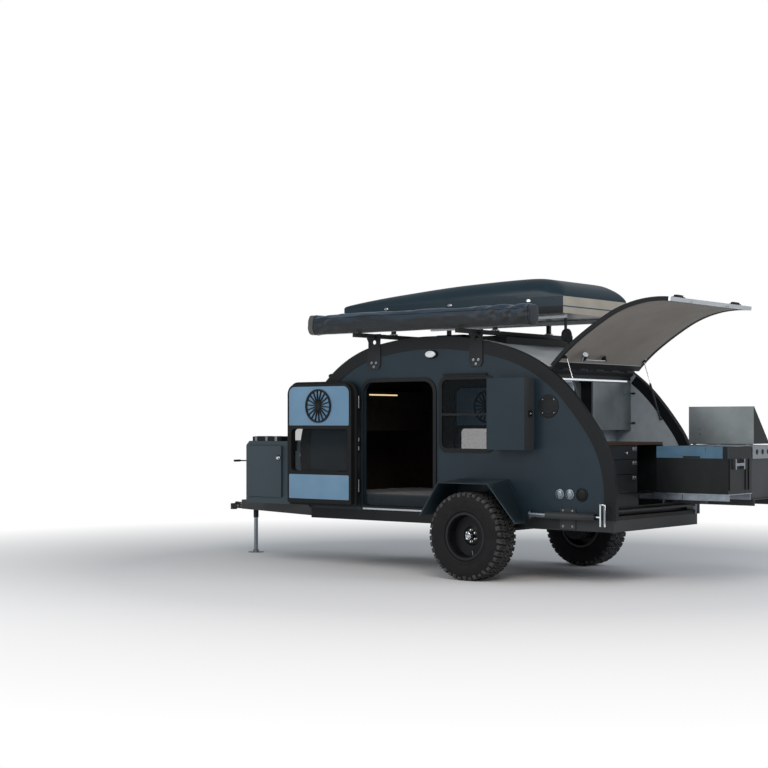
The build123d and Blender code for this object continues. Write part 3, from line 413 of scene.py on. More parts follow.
dress(
    "galley_shelves", "paleLaminate",
    ("greySheet", lambda c, n: c.y < 222 and c.z < 1785), ("anodised", lambda c, n: c.z > 1791),
)
dress("hatch", "blackTrim", ("roofSheet", outerSkin))
dress(
    "hatch_edge", "anodised",
    ("blackTrim", lambda c, n: closed(c).x > outline["tail"][0] - 3 and closed(c).z < 900),
)
dress(
    "opening_frames", "blackTrim",
    ("zincPlate", lambda c, n: abs(c.x - door["barrel"]) < 8 and abs(abs(c.y) - door["pin"]) < 7.2),
)
dress("locker_door", "bodyPaint", ("powderCoat", lambda c, n: abs(n.y) < 0.5))
dress("roof_rack", "powderCoat", ("anodised", lambda c, n: c.z > 2349))
for number in (1, 2, 3):
    dress(
        f"drawer_{number}", "blackPly",
        ("anodised", lambda c, n: c.x < drawer["front"]),
        ("paleLaminate", lambda c, n: c.x > drawer["inside"]),
    )
dress(
    "fridge_case", "fridgeShell",
    ("zincPlate", lambda c, n: c.x < fridge["cap"] and c.z > fridge["handle"]),
    ("paleLaminate", lambda c, n: all(fridge[axis][0] < at < fridge[axis][1] for axis, at in zip("xyz", c))),
)
dress("stove", "stainless", ("castIron", lambda c, n: (
    c.z > cooker["grate"] and abs(c.y - cooker["middle"]) < cooker["half"]
    and cooker["x"][0] < c.x < cooker["x"][1]
)))
dress("stove_lid", "greySheet", ("mouldedBlack", lambda c, n: c.x < cooker["end"]))
dress("roof_box_tub", "tubShell", ("palePanel", lambda c, n: n.x < -0.9 and c.x < -699))
print("nodes dressed")


def mark(mesh, index):
    # The faces added to a mesh since the last call take that material
    for face in mesh.faces:
        if not face.tag:
            face.material_index = index
            face.tag = True


def bridge(mesh, first, second, ring=True):
    # Faces between two rows of as many points, round or open
    count = len(first)
    for k in range(count if ring else count - 1):
        n = (k + 1) % count
        mesh.faces.new((first[k], first[n], second[n], second[k]))


def loft(mesh, rings, ends=True):
    # Faces from ring to ring and over both ends
    for first, second in zip(rings, rings[1:]):
        bridge(mesh, first, second)
    if ends:
        mesh.faces.new(rings[0][::-1])
        mesh.faces.new(rings[-1])


def addRing(mesh, middle, across, other, steps):
    # Corners about a point in metres; the two half axes are vectors in mm
    turns = [2 * math.pi * k / steps for k in range(steps)]
    return [mesh.verts.new(middle + (across * math.cos(t) + other * math.sin(t)) / 1000) for t in turns]


def addSlab(mesh, points, thick):
    # Closed outline of points in metres pushed out by the vector thick
    loft(mesh, [[mesh.verts.new(p + push) for p in points] for push in (Vector(), thick)])


def addBox(mesh, x, y, z, chamfer=0.0):
    # Block between pairs of values, its upright edges chamfered
    low, high = sorted(y)
    rim = [(x[0], low), (x[1], low), (x[1], high), (x[0], high)]
    if chamfer:
        cut = []
        for number, (px, py) in enumerate(rim):
            alongX = (px + (chamfer if px == x[0] else -chamfer), py)
            alongY = (px, py + (chamfer if py == low else -chamfer))
            cut += [alongX, alongY] if number % 2 else [alongY, alongX]
        rim = cut
    addSlab(mesh, [spot(px, py, z[0]) for px, py in rim], up * (z[1] - z[0]) / 1000)


def crossOf(along):
    along = along.normalized()
    guide = up if abs(along.z) < 0.9 else Vector((1, 0, 0))
    across = along.cross(guide).normalized()
    return along, across, along.cross(across)


def addTurned(mesh, base, along, profile, steps=24, stretch=(1, 1), capped=True):
    # Turned form about a line; profile rows are (radius, distance along) in mm
    along, across, other = crossOf(along)
    axes = across * stretch[0], other * stretch[1]
    rings = []
    for radius, far in profile:
        middle = base + along * far / 1000
        rings.append(addRing(mesh, middle, axes[0] * radius, axes[1] * radius, steps if radius > 0 else 1))
    for first, second in zip(rings, rings[1:]):
        if len(first) == len(second):
            bridge(mesh, first, second)
            continue
        for k in range(steps):
            n = (k + 1) % steps
            if len(first) == 1:
                mesh.faces.new((first[0], second[n], second[k]))
            else:
                mesh.faces.new((first[k], first[n], second[0]))
    if capped and len(rings[0]) > 1:
        mesh.faces.new(rings[0][::-1])
    if capped and len(rings[-1]) > 1:
        mesh.faces.new(rings[-1])


def addTube(mesh, path, radius, steps=10, looped=False):
    # Round tube through points in metres
    rings = []
    count = len(path)
    across = None
    for k, point in enumerate(path):
        before = path[k - 1] if k or looped else path[0]
        after = path[(k + 1) % count] if k < count - 1 or looped else path[-1]
        along = (after - before).normalized()
        if across is None:
            along, across, other = crossOf(along)
        across = (across - along * across.dot(along)).normalized()
        other = along.cross(across)
        rings.append(addRing(mesh, point, across * radius, other * radius, steps))
    loft(mesh, rings + rings[:1] if looped else rings, not looped)


def addPierced(mesh, outer, hole, thick):
    # Flat plate with one hole: loops of points in metres, pushed out by the vector thick
    front = [mesh.verts.new(p) for p in outer + hole]
    rear = [mesh.verts.new(p + thick) for p in outer + hole]
    for a, b, c in geometry.tessellate_polygon([outer, hole]):
        mesh.faces.new((front[a], front[b], front[c]))
        mesh.faces.new((rear[c], rear[b], rear[a]))
    edge = len(outer)
    bridge(mesh, front[:edge], rear[:edge])
    bridge(mesh, front[edge:], rear[edge:])


def addBolt(mesh, base, out, across=10, washer=9, height=6):
    # Hexagon head on its washer, with a shallow dome
    addTurned(mesh, base, out, ((washer, 0), (washer, 1.2), (washer - 1, 1.6)), 20)
    half = across / 2 / math.cos(math.radians(30))
    addTurned(mesh, base, out, (
        (half, 1.4), (half, height - 1), (half * 0.88, height), (half * 0.5, height + 0.3), (0, height + 0.3),
    ), 6)


def addScrew(mesh, base, out, radius=5):
    # Round head with a shallow socket
    addTurned(mesh, base, out, (
        (radius, 0), (radius, 1), (radius * 0.8, 2.2), (radius * 0.4, 2.6), (radius * 0.36, 1.4), (0, 1.4),
    ), 16)


def makePiece(mesh, name, body, *materials, bevel=0.0, angle=35, slotName=None):
    # Mesh into a piece that rides on a body, smooth but for its sharp edges
    bmesh.ops.recalc_face_normals(mesh, faces=mesh.faces)
    data = bpy.data.meshes.new(name)
    mesh.to_mesh(data)
    mesh.free()
    for face in data.polygons:
        face.use_smooth = True
    data.set_sharp_from_angle(angle=math.radians(angle))
    piece = bpy.data.objects.new(name, data)
    scene.collection.objects.link(piece)
    for material in materials:
        data.materials.append(finish[material])
    if bevel > 0:
        rounded = piece.modifiers.new("bevel", "BEVEL")
        rounded.width = bevel / 1000
        rounded.segments = 2
        rounded.limit_method = "ANGLE"
        rounded.angle_limit = math.radians(40)
        rounded.harden_normals = True
    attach(piece, body)
    return piece


def boxPiece(name, body, materials, boxes, bevel=0.0, angle=35):
    # Piece of plain blocks; rows are (x, y, z, chamfer, number of its material)
    mesh = bmesh.new()
    for x, y, z, chamfer, index in boxes:
        addBox(mesh, x, y, z, chamfer)
        mark(mesh, index)
    return makePiece(mesh, name, body, *materials, bevel=bevel, angle=angle)


def turnedPiece(name, body, materials, forms, angle=35):
    # Piece of turned forms; rows are (base, along, profile, steps, number of its material)
    mesh = bmesh.new()
    for base, along, profile, steps, index in forms:
        addTurned(mesh, base, along, profile, steps)
        mark(mesh, index)
    return makePiece(mesh, name, body, *materials, angle=angle)


def aroundY(base, radius, count, start=0.0):
    # Points on a circle about the crosswise line, radius in mm, with the way out from its middle
    turns = [start + 2 * math.pi * k / count for k in range(count)]
    ways = [Vector((math.cos(turn), 0, math.sin(turn))) for turn in turns]
    return [(base + way * radius / 1000, way) for way in ways]


# Tyres: moulded carcass and cut tread in place of the plain ones
tyre = {
    "radius": 396, "track": 957.5, "pitches": 42, "top": 395.8, "sipe": 0.035,
    # carcass: radius, distance from the middle plane
    "section": (
        (205.6, 103), (212, 104), (219, 106), (223, 121), (231, 127), (240, 129.5), (247, 130.5),
        (250, 128.5), (256, 129), (270, 133.5), (292, 136.8), (312, 137.4), (315, 135.8), (320, 135.8),
        (323, 137), (340, 134.5), (356, 130), (371, 122), (382, 108), (385.5, 88), (387, 45), (387, 0),
    ),
    # tread rows: near and far from the middle, radius at the foot, share of the pitch, phase, slant
    "rows": (
        (2, 33, 384, 0.74, 0.0, 0.30), (-33, -2, 384, 0.74, 0.5, -0.30),
        (39, 78, 384, 0.70, 0.35, -0.28), (-78, -39, 384, 0.70, 0.85, 0.28),
        (84, 112, 378, 0.64, 0.1, 0.10), (-112, -84, 378, 0.64, 0.6, -0.10),
    ),
    # shoulder lugs, long and short in turn: radius, near and far from the middle
    "shoulder": (
        ((366, 121, 128), (378, 112, 129), (391, 106, 121)),
        ((352, 126, 130.5), (378, 112, 129), (391, 106, 121)),
    ),
    "shoulderShare": 0.64, "shoulderPhase": (0.6, 0.1),
}


def onTyre(centre, radius, turn, y):
    return centre + Vector((radius * math.cos(turn), y, radius * math.sin(turn))) / 1000


def addLug(mesh, centre, s, low, high, start, end, slant, foot, inset=1.4):
    # Tread block between two angles and two widths, its top smaller than its foot
    rings = []
    for radius, draw in ((foot, 0.0), (tyre["top"], inset)):
        rings.append([])
        for width, turn in ((low + draw, start), (high - draw, start), (high - draw, end), (low + draw, end)):
            swing = turn + slant * (width - low) / (high - low)
            trim = draw / tyre["top"] * (1 if turn == start else -1)
            rings[-1].append(mesh.verts.new(onTyre(centre, radius, swing + trim, s * width)))
    loft(mesh, rings)


pitch = 2 * math.pi / tyre["pitches"]
for s, name in sides:
    mesh = bmesh.new()
    centre = spot(0, s * tyre["track"], tyre["radius"])
    across = tyre["section"] + tuple((radius, -width) for radius, width in tyre["section"][-2::-1])
    addTurned(mesh, centre, left, across, 120, capped=False)
    mark(mesh, 0)
    for low, high, foot, share, phase, slant in tyre["rows"]:
        for number in range(tyre["pitches"]):
            start = (number + phase) * pitch
            middle, end, gap = start + pitch * share / 2, start + pitch * share, pitch * tyre["sipe"]
            addLug(mesh, centre, s, low, high, start, middle - gap, slant * pitch, foot)
            addLug(mesh, centre, s, low, high, middle + gap, end, slant * pitch, foot)
    for side in (1, -1):
        for number in range(tyre["pitches"]):
            start = (number + tyre["shoulderPhase"][side * s > 0]) * pitch
            end = start + pitch * tyre["shoulderShare"]
            loft(mesh, [
                [mesh.verts.new(onTyre(centre, radius, turn, side * width)) for turn, width in (
                    (start, near), (start, far), (end, far), (end, near),
                )]
                for radius, near, far in tyre["shoulder"][number % 2]
            ])
    mark(mesh, 1)
    piece = makePiece(
        mesh, f"{name}Tyre", f"wheel_{name}", "sidewallRubber", "paleTreadRubber", angle=28, slotName="tyre",
    )
    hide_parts(f"tyre_{name}")
print("tyres made")

# Wheel hardware: hub cap with its ring, nuts and valve
hub = {
    "nutCircle": 52, "nuts": 6, "face": 12, "capFoot": 39.5,
    "cap": (
        (28, 0), (33, 0.5), (33, 22), (31.5, 25.5), (27, 27), (24, 26), (22.5, 23), (20, 23), (18, 25.5),
        (8, 27), (0, 27.2),
    ),
    "seat": ((13, -0.2), (13, 1.5), (11.5, 3)), "nut": ((11.5, 1), (11.5, 15), (9.5, 18), (5, 19.5), (0, 20)),
    "valveAngle": -106, "valveCircle": 176, "valveOut": 52,
    "valve": ((8, 0), (7, 3), (4.5, 5), (4.5, 30), (5.5, 31), (5.5, 40), (4, 42), (0, 42.5)),
}
for s, name in sides:
    out = left * s
    centre = spot(0, s * tyre["track"], tyre["radius"])
    forms = [(centre + out * hub["capFoot"] / 1000, out, hub["cap"], 40, 0)]
    nutStart = math.pi / hub["nuts"]
    for foot, way in aroundY(centre + out * hub["face"] / 1000, hub["nutCircle"], hub["nuts"], nutStart):
        forms += [(foot, out, hub["seat"], 20, 0), (foot, out, hub["nut"], 6, 0)]
    turnedPiece(f"{name}HubCap", f"wheel_{name}", ("chrome",), forms, 30)
    valveTurn = math.radians(hub["valveAngle"])
    root, way = aroundY(centre + out * hub["valveOut"] / 1000, hub["valveCircle"], 1, valveTurn)[0]
    turnedPiece(f"{name}Valve", f"wheel_{name}", ("zincPlate",), [(root, -way, hub["valve"], 16, 0)])
print("wheel hardware made")

# Awning bag: rolled canopy in a coated sleeve that lies on the crossbars
awning = {
    "x": (-660, 1930), "middle": (950, 2362.3), "half": (84, 99), "stations": 180, "around": 56,
    "corner": 2.7, "sag": 3, "thick": 92, "crease": 13, "diagonal": 17, "capFrom": 1860,
    # mottling: scales along and around, offset, share; gathers: place from the rear end, width, share
    "noise": ((0.003, 1.3, 3.1, 1), (0.008, 2.6, 7.7, 0.35)), "gathers": ((190, 300, 1), (2410, 160, 0.6)),
    # how the sleeve draws in at its ends: distance from the end, share of the full size
    "ends": ((0, 0.86), (1, 0.95), (5, 0.99)), "straight": 12,
    "seams": (-640, 1860), "seam": 3.2, "zip": 2.6, "zipTurn": 0.5,
}


def squared(turn, power):
    # Cosine and sine drawn out towards the corners of a square
    return [math.copysign(abs(value) ** power, value) for value in (math.cos(turn), math.sin(turn))]


def awningPoint(x, turn, shrink=1.0):
    # Point of the bag's skin at a station, turn in radians from the outer side over the top
    side, rise = squared(turn, 2 / awning["corner"])
    high = math.sin(turn)
    first, last = awning["x"]
    grain = sum(
        share * noise.noise(Vector((x * along, turn * around, offset)))
        for along, around, offset, share in awning["noise"]
    )
    near = sum(share * math.exp(-((x - first - at) / wide) ** 2) for at, wide, share in awning["gathers"])
    ridge = abs(math.sin(x * 0.017 + turn * 2.1 + 0.6 * grain)) ** 3
    dent = awning["crease"] * max(0.0, 0.45 + grain) + awning["diagonal"] * near * ridge
    if high < 0:
        dent *= 1 + 0.8 * high
    slump = awning["sag"] * math.sin(math.pi * (x - first) / (last - first)) * max(0.0, high)
    scale = shrink * (1 - dent / awning["thick"])
    (halfY, halfZ), (midY, midZ) = awning["half"], awning["middle"]
    return spot(x, midY + halfY * side * scale, midZ + halfZ * rise * scale - slump)


def awningRing(x, count, shrink=1.0):
    return [awningPoint(x, 2 * math.pi * k / count, shrink) for k in range(count)]


mesh = bmesh.new()
first, last = awning["x"]
count, straight = awning["stations"], awning["straight"]
places = [(first + off, size) for off, size in awning["ends"]]
places += [(first + straight + (last - first - 2 * straight) * k / count, 1.0) for k in range(count + 1)]
places += [(last - off, size) for off, size in reversed(awning["ends"])]
rings = [[mesh.verts.new(p) for p in awningRing(x, awning["around"], size)] for x, size in places]
loft(mesh, rings)
for face in mesh.faces:
    face.material_index = int(face.calc_center_median().x > spot(awning["capFrom"], 0, 0).x)
bag = makePiece(mesh, "awningBag", "trailer", "awningCloth", "awningEnd", angle=60, slotName="awning_cloth")
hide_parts("awning_bag")
mesh = bmesh.new()
start, end = awning["seams"]
for x in awning["seams"]:
    addTube(mesh, awningRing(x, 48, 1.004), awning["seam"], 8, True)
zipLine = [awningPoint(start + (end - start) * k / 90, awning["zipTurn"]) for k in range(91)]
addTube(mesh, zipLine, awning["zip"], 8)
makePiece(mesh, "awningPiping", "trailer", "sealRubber")
print("awning bag made")

# Mattress: quilted cover, its points closer together towards the edges
mattress = {
    "x": (-479, 2040), "y": (-702, 702), "z": (605.3, 735),
    "rows": 84, "columns": 52, "tuft": 7, "pitch": 190,
}
mesh = bmesh.new()
rows, columns = mattress["rows"], mattress["columns"]
midX, midY, midZ = [sum(mattress[axis]) / 2 for axis in "xyz"]
halfX, halfY, halfZ = [(mattress[axis][1] - mattress[axis][0]) / 2 for axis in "xyz"]
for side in (1, -1):
    layer = []
    for i in range(rows + 1):
        u = math.sin((2 * i / rows - 1) * math.pi / 2)
        layer.append([])
        for j in range(columns + 1):
            v = math.sin((2 * j / columns - 1) * math.pi / 2)
            x, y = u * halfX, v * halfY
            edge = (1 - abs(u) ** 26) * (1 - abs(v) ** 20)
            rise = halfZ * max(edge, 0) ** 0.28
            if side > 0:
                wave = math.pi / mattress["pitch"]
                quilt = abs(math.cos(x * wave) * math.cos(y * wave))
                rise -= (mattress["tuft"] * quilt + 3 * noise.noise(Vector((x, y, 0)) * 0.004)) * edge + 1.5
            layer[-1].append(mesh.verts.new(spot(midX + x, midY + y, midZ + side * rise)))
    for one, other in zip(layer, layer[1:]):
        bridge(mesh, one, other, False)
bmesh.ops.remove_doubles(mesh, verts=mesh.verts, dist=0.0004)
pad = makePiece(mesh, "mattressPad", "trailer", "mattressCloth", angle=80, slotName="mattress_cloth")
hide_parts("mattress")
print("mattress made")

# Rack: waisted wall brackets with a round hole each, crossbars, posts and rails, with their hardware
rack = {
    "brackets": ((107.5, 74), (1316.5, 80)),  # middle along the body, half width
    # bracket corners: side of its middle, off its half width, height
    "shape": (
        (-1, 0, 1962), (-1, 24, 1925), (1, -24, 1925), (1, 0, 1962), (1, 0, 2096), (1, -12, 2128),
        (1, -12, 2186), (1, 8, 2222), (1, 8, 2262), (-1, -6, 2262), (-1, -6, 2226), (-1, 0, 2196),
    ),
    "face": 749, "plate": 8, "hole": (-8, 2182, 20), "bar": (2222, 2262), "barEnds": (-750, 1040),
    "rails": (450, -450), "rail": (-670, 1540), "railZ": (2350, 2390), "railHalf": 20,
    "bolts": ((-28, 1986), (28, 1986), (0, 1948)), "cap": (21, 6), "clamp": (34, 27, 10), "clampBolt": 26,
}
bar, face = rack["bar"], rack["face"]
plate = face + rack["plate"]
holeX, holeZ, holeRadius = rack["hole"]
mesh = bmesh.new()
for middle, half in rack["brackets"]:
    for s in (1, -1):
        outer = [spot(middle + side * half + off, s * face, z) for side, off, z in rack["shape"]]
        hole = [point for point, way in aroundY(spot(middle + holeX, s * face, holeZ), holeRadius, 28)]
        addPierced(mesh, outer, hole, left * s * rack["plate"] / 1000)
        addBox(mesh, (middle - half + 24, middle + half - 24), (s * (wallFace + 0.2), s * face), (1925, 1960))
        addBox(mesh, (middle - 36, middle + 36), (s * plate, s * 800), (bar[0] - 8, bar[0]))
    addBox(mesh, (middle - 20, middle + 20), rack["barEnds"], bar)
    for y in rack["rails"]:
        addBox(mesh, (middle - 18, middle + 18), (y - 18, y + 18), (bar[1], rack["railZ"][0]))
mark(mesh, 0)
for y in rack["rails"]:
    addBox(mesh, rack["rail"], (y - rack["railHalf"], y + rack["railHalf"]), rack["railZ"])
mark(mesh, 1)
piece = makePiece(
    mesh, "rackFrame", "trailer", "powderCoat", "anodised", bevel=1.2, angle=30, slotName="black_steel",
)
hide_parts("roof_rack")
bolts, clamps, caps = bmesh.new(), bmesh.new(), []
clampX, clampY, clampZ = rack["clamp"]
capHalf, capThick = rack["cap"]
for middle, half in rack["brackets"]:
    for s in (1, -1):
        for dx, z in rack["bolts"]:
            addBolt(bolts, spot(middle + dx, s * plate, z), left * s, 14, 13, 9)
    for y in rack["rails"]:
        x = (middle - clampX, middle + clampX)
        addBox(clamps, x, (y - clampY, y + clampY), (bar[1], bar[1] + clampZ), 4)
        for dx in (-rack["clampBolt"], rack["clampBolt"]):
            addBolt(clamps, spot(middle + dx, y, bar[1] + clampZ), up, 12, 7, 6)
    low, high = rack["barEnds"]
    for y in ((high, high + capThick), (low - capThick, low)):
        caps.append(((middle - capHalf, middle + capHalf), y, (bar[0] - 1, bar[1] + 1), 0, 0))
makePiece(bolts, "bracketBolts", "trailer", "zincPlate", angle=30)
boxPiece("crossbarCaps", "trailer", ("mouldedBlack",), caps, 1.5)
makePiece(clamps, "railClamps", "trailer", "anodised", bevel=1)

# Round lamp that hangs at the rear end of the left rack rail
rackLamp = {
    "x": -640, "y": 450, "z": 2190, "hanger": ((-668, -660), (432, 468), (2225, 2350)), "lensOut": 49,
    "shell": ((30, 0), (58, 14), (64, 26), (64, 50), (60, 54), (57, 54), (56, 50)),
    "lens": ((55, 0), (55, 1.5), (30, 4), (0, 5)),
}
mesh = bmesh.new()
base = spot(rackLamp["x"], rackLamp["y"], rackLamp["z"])
addBox(mesh, *rackLamp["hanger"])
addTurned(mesh, base, back, rackLamp["shell"], 40)
mark(mesh, 0)
addTurned(mesh, base + back * rackLamp["lensOut"] / 1000, back, rackLamp["lens"], 40)
mark(mesh, 1)
makePiece(mesh, "rackLamp", "trailer", "mouldedBlack", "tintedAcrylic")
print("rack hardware made")

# Left wall: power and water inlets with their flaps, and the round plate
fitting = {
    "sunk": 0.5, "screws": 4,
    "inlets": ((-795, 785, 45, "zincPlate"), (-898, 785, 45, "zincPlate"), (-1021, 785, 60, "mouldedBlack")),
    "plate": (-675, 1557, 104),
    # their turned forms: share of the radius, mm less than that, mm out of the wall
    "inlet": (
        (1, 0, 0), (1, 0, 5), (1, 2, 8), (1, 7, 9.5), (1, 10, 9.5), (1, 12, 7), (1, 14, 7), (1, 15, 12),
        (1, 19, 14), (0.3, 0, 15), (0, 0, 15),
    ),
    "disc": (
        (1, 0, 0), (1, 0, 6), (1, 2, 8.5), (1, 9, 9), (1, 11, 7.5), (1, 30, 7.5), (1, 32, 9), (1, 36, 9),
        (1, 38, 7.5), (0, 0, 7.5),
    ),
    "flap": {"half": 9, "out": (13, 19), "shares": (0.62, 0.3)},
}


def addRimScrews(mesh, base, radius, out, size):
    start = math.pi / fitting["screws"]
    for foot, way in aroundY(base, radius, fitting["screws"], start):
        addScrew(mesh, foot + left * out / 1000, left, size)


for x, z, r, material in fitting["inlets"]:
    mesh = bmesh.new()
    base = spot(x, wallFace - fitting["sunk"], z)
    addTurned(mesh, base, left, [(r * share - less, out) for share, less, out in fitting["inlet"]], 40)
    flap = fitting["flap"]
    places = [wallFace + out for out in flap["out"]]
    addBox(mesh, (x - flap["half"], x + flap["half"]), places, [z - r * share for share in flap["shares"]], 2)
    addRimScrews(mesh, base, r - 6.5, 9.4, 3)
    makePiece(mesh, f"inlet{abs(x)}", "trailer", material, angle=30)
mesh = bmesh.new()
x, z, r = fitting["plate"]
base = spot(x, wallFace - fitting["sunk"], z)
addTurned(mesh, base, left, [(r * share - less, out) for share, less, out in fitting["disc"]], 56)
mark(mesh, 0)
addRimScrews(mesh, base, r - 20, 7.3, 6)
mark(mesh, 1)
makePiece(mesh, "roundPlate", "trailer", "mouldedBlack", "zincPlate", angle=30)

# Porch lamps: oval base, chrome ring and lens, as shares of the half sizes with mm out of the wall
porch = {
    "x": 625, "z": 2050, "half": (75, 40),
    "parts": (
        (-0.5, ((1, 0), (1, 14), (0.97, 19), (0.9, 22), (0.82, 22))),
        (21, ((0.83, 0), (0.8, 2.5), (0.78, 1), (0.76, 1))),
        (21.5, ((0.76, 0), (0.72, 4), (0.55, 7.5), (0.25, 9.5), (0, 10))),
    ),
}
# Drip rail: strips from near to far out of the middle, low to high off its height
drip = {"x": (-14, 475), "z": 1849, "strips": ((756.5, 760, -14, 14), (759, 775, 6, 10), (772, 775, 9, 15))}
sill = {"x": (600, 1450), "z": 584, "screwEvery": 128}
# Lock of the tongue box's door: turned knob on its round plate
boxLatch = {
    "x": 2838, "y": 467.6, "z": 1045, "plate": ((30, 0), (30, 2), (28, 3.5), (22, 3.5)), "knobOut": 2.4,
    "knob": ((20, 0), (20, 3), (15, 6), (14, 14), (15, 18), (13, 20), (4, 20), (4, 18), (0, 18)),
}
# Stabiliser: the crank's U and the mount's bolts
stay = {
    "y": 802, "crank": ((-1240, 700), (-1244, 706), (-1262, 708), (-1280, 706), (-1284, 700), (-1284, 520)),
    "rod": 9, "boltFace": 755, "bolts": ((-832, 640), (-928, 640), (-832, 505), (-928, 505)),
}
for s, name in sides:
    out = left * s
    mesh = bmesh.new()
    for index, (off, profile) in enumerate(porch["parts"]):
        addTurned(mesh, spot(porch["x"], s * (wallFace + off), porch["z"]), out, profile, 48, porch["half"])
        mark(mesh, index)
    makePiece(mesh, f"{name}PorchLamp", "trailer", "mouldedBlack", "chrome", "clearLens", angle=30)
    boxPiece(f"{name}DripRail", "trailer", ("blackTrim",), [
        (drip["x"], (s * near, s * far), (drip["z"] + low, drip["z"] + high), 0, 0)
        for near, far, low, high in drip["strips"]
    ], 0.8)
    mesh = bmesh.new()
    addBox(mesh, sill["x"], (s * (wallFace - 0.5), s * (wallFace + 15)), (sill["z"] - 8, sill["z"] + 8))
    for x in range(sill["x"][0] + 40, sill["x"][1], sill["screwEvery"]):
        addScrew(mesh, spot(x, s * (wallFace + 15), sill["z"]), out, 4)
    makePiece(mesh, f"{name}SillStrip", "trailer", "anodised", bevel=0.8)
    base = spot(boxLatch["x"], s * boxLatch["y"], boxLatch["z"])
    turnedPiece(f"{name}BoxLatch", f"box_leaf_{name}", ("mouldedBlack", "chrome"), (
        (base, out, boxLatch["plate"], 36, 0),
        (base + out * boxLatch["knobOut"] / 1000, out, boxLatch["knob"], 32, 1),
    ))
    mesh = bmesh.new()
    addTube(mesh, [spot(x, s * stay["y"], z) for x, z in stay["crank"]], stay["rod"], 16)
    makePiece(mesh, f"{name}Crank", f"stabiliser_{name}", "chrome", angle=40)
    mesh = bmesh.new()
    for x, z in stay["bolts"]:
        addBolt(mesh, spot(x, s * stay["boltFace"], z), out, 13, 11, 7)
    makePiece(mesh, f"{name}StayBolts", "trailer", "zincPlate", angle=30)
print("wall fittings made")

# Locker's lock, the case on the tongue box with its straps, and the markers on the nose's edges
lockerLock = {
    "block": ((-534, -522), (788, 842), (1468, 1517), 3), "at": (-534, 815, 1492),
    "cylinder": ((12, 0), (12, 4), (10, 6), (3, 6), (3, 4), (0, 4)),
}
mesh = bmesh.new()
addBox(mesh, *lockerLock["block"])
mark(mesh, 0)
addTurned(mesh, spot(*lockerLock["at"]), back, lockerLock["cylinder"], 24)
mark(mesh, 1)
makePiece(mesh, "lockerLock", "trailer", "mouldedBlack", "chrome", bevel=1.2)
case = {"x": (2850, 3262), "y": (200, 435), "z": (1219.6, 1266), "straps": (2905, 3040, 3190), "over": 4}
boxes = [(case["x"], case["y"], case["z"], 22, 0)]
for x in case["straps"]:
    y = (case["y"][0] - case["over"], case["y"][1] + case["over"])
    boxes.append(((x - 16, x + 16), y, (case["z"][0], case["z"][1] + case["over"]), 2, 1))
boxPiece("boxCase", "trailer", ("mouldedBlack", "zincPlate"), boxes, 6)
noseMarker = {
    "turn": 130.5, "y": 716, "half": (34, 22), "profile": ((1, 0), (1, 16), (0.8, 26), (0.4, 30), (0, 31)),
}
mesh = bmesh.new()
for s in (1, -1):
    ends = [outlinePoint(noseMarker["turn"], inset) for inset in (-2, -30)]
    foot, head = [spot(x, s * noseMarker["y"], z) for x, z in ends]
    addTurned(mesh, foot, head - foot, noseMarker["profile"], 32, noseMarker["half"])
makePiece(mesh, "noseMarkers", "trailer", "mouldedBlack", angle=40)

# Roof box: the lid's shell with rounded shoulders, the blue line across the pale rear panel, the locks
roofBox = {
    "half": 547, "split": 2542.4, "wall": 6, "shoulder": 150, "around": 44, "side": 0.12, "curveEnd": 0.38,
    "top": (
        (-700, 2542.4), (-699, 2572), (-672, 2616), (-620, 2660), (-510, 2704), (-370, 2725), (-100, 2724),
        (300, 2712), (600, 2700), (950, 2676), (1250, 2650), (1500, 2622), (1700, 2594), (1840, 2570),
        (1866, 2560), (1870, 2542.4),
    ),
    "barrels": (-400, 500, 1400), "barrelAt": (-553, 2550), "barrel": ((6.5, 0), (6.5, 90)),
    "line": ((-702, -699.5), (-546, 546), (2448, 2458), 0, 0),
    "locks": (-330, 560, 1330), "lockAt": (546.5, 2515), "lockHalf": (26, 13),
    "lock": ((1, 0), (1, 3), (0.85, 5), (0.3, 5), (0.3, 3), (0, 3)),
}


def shelled(points, wall):
    # The top line a wall's thickness further in
    moved = []
    for k, (x, z) in enumerate(points):
        before, after = points[max(k - 1, 0)], points[min(k + 1, len(points) - 1)]
        run, rise = after[0] - before[0], after[1] - before[1]
        size = math.hypot(run, rise)
        moved.append((x + wall * rise / size, max(z - wall * run / size, roofBox["split"])))
    return moved


def cornersCut(points):
    # The line with its corners cut twice as fine
    cut = [points[0]]
    for (ax, az), (bx, bz) in zip(points, points[1:]):
        cut += [(ax + (bx - ax) * share, az + (bz - az) * share) for share in (0.25, 0.75)]
    return cut + [points[-1]]


def lidRows(mesh, points, half):
    # Rows across the lid: up the side, round the shoulder, over to the middle, and the same mirrored
    split, shoulder, side, curveEnd = [roofBox[key] for key in ("split", "shoulder", "side", "curveEnd")]
    rows = []
    for x, z in points:
        curve = min(shoulder, z - split)
        reach = min(shoulder, max(curve, 1) * 1.25)
        row = []
        for k in range(roofBox["around"] // 2 + 1):
            share = k / roofBox["around"]
            if share < side:
                row.append((half, split + (z - split - curve) * share / side))
            elif share < curveEnd:
                turn = (share - side) / (curveEnd - side) * math.pi / 2
                row.append((half - reach * (1 - math.cos(turn)), z - curve + curve * math.sin(turn)))
            else:
                row.append(((half - reach) * (0.5 - share) / (0.5 - curveEnd), z))
        row += [(-y, z) for y, z in row[-2::-1]]
        rows.append([mesh.verts.new(spot(x, y, z)) for y, z in row])
    for one, other in zip(rows, rows[1:]):
        bridge(mesh, one, other, False)
    return rows


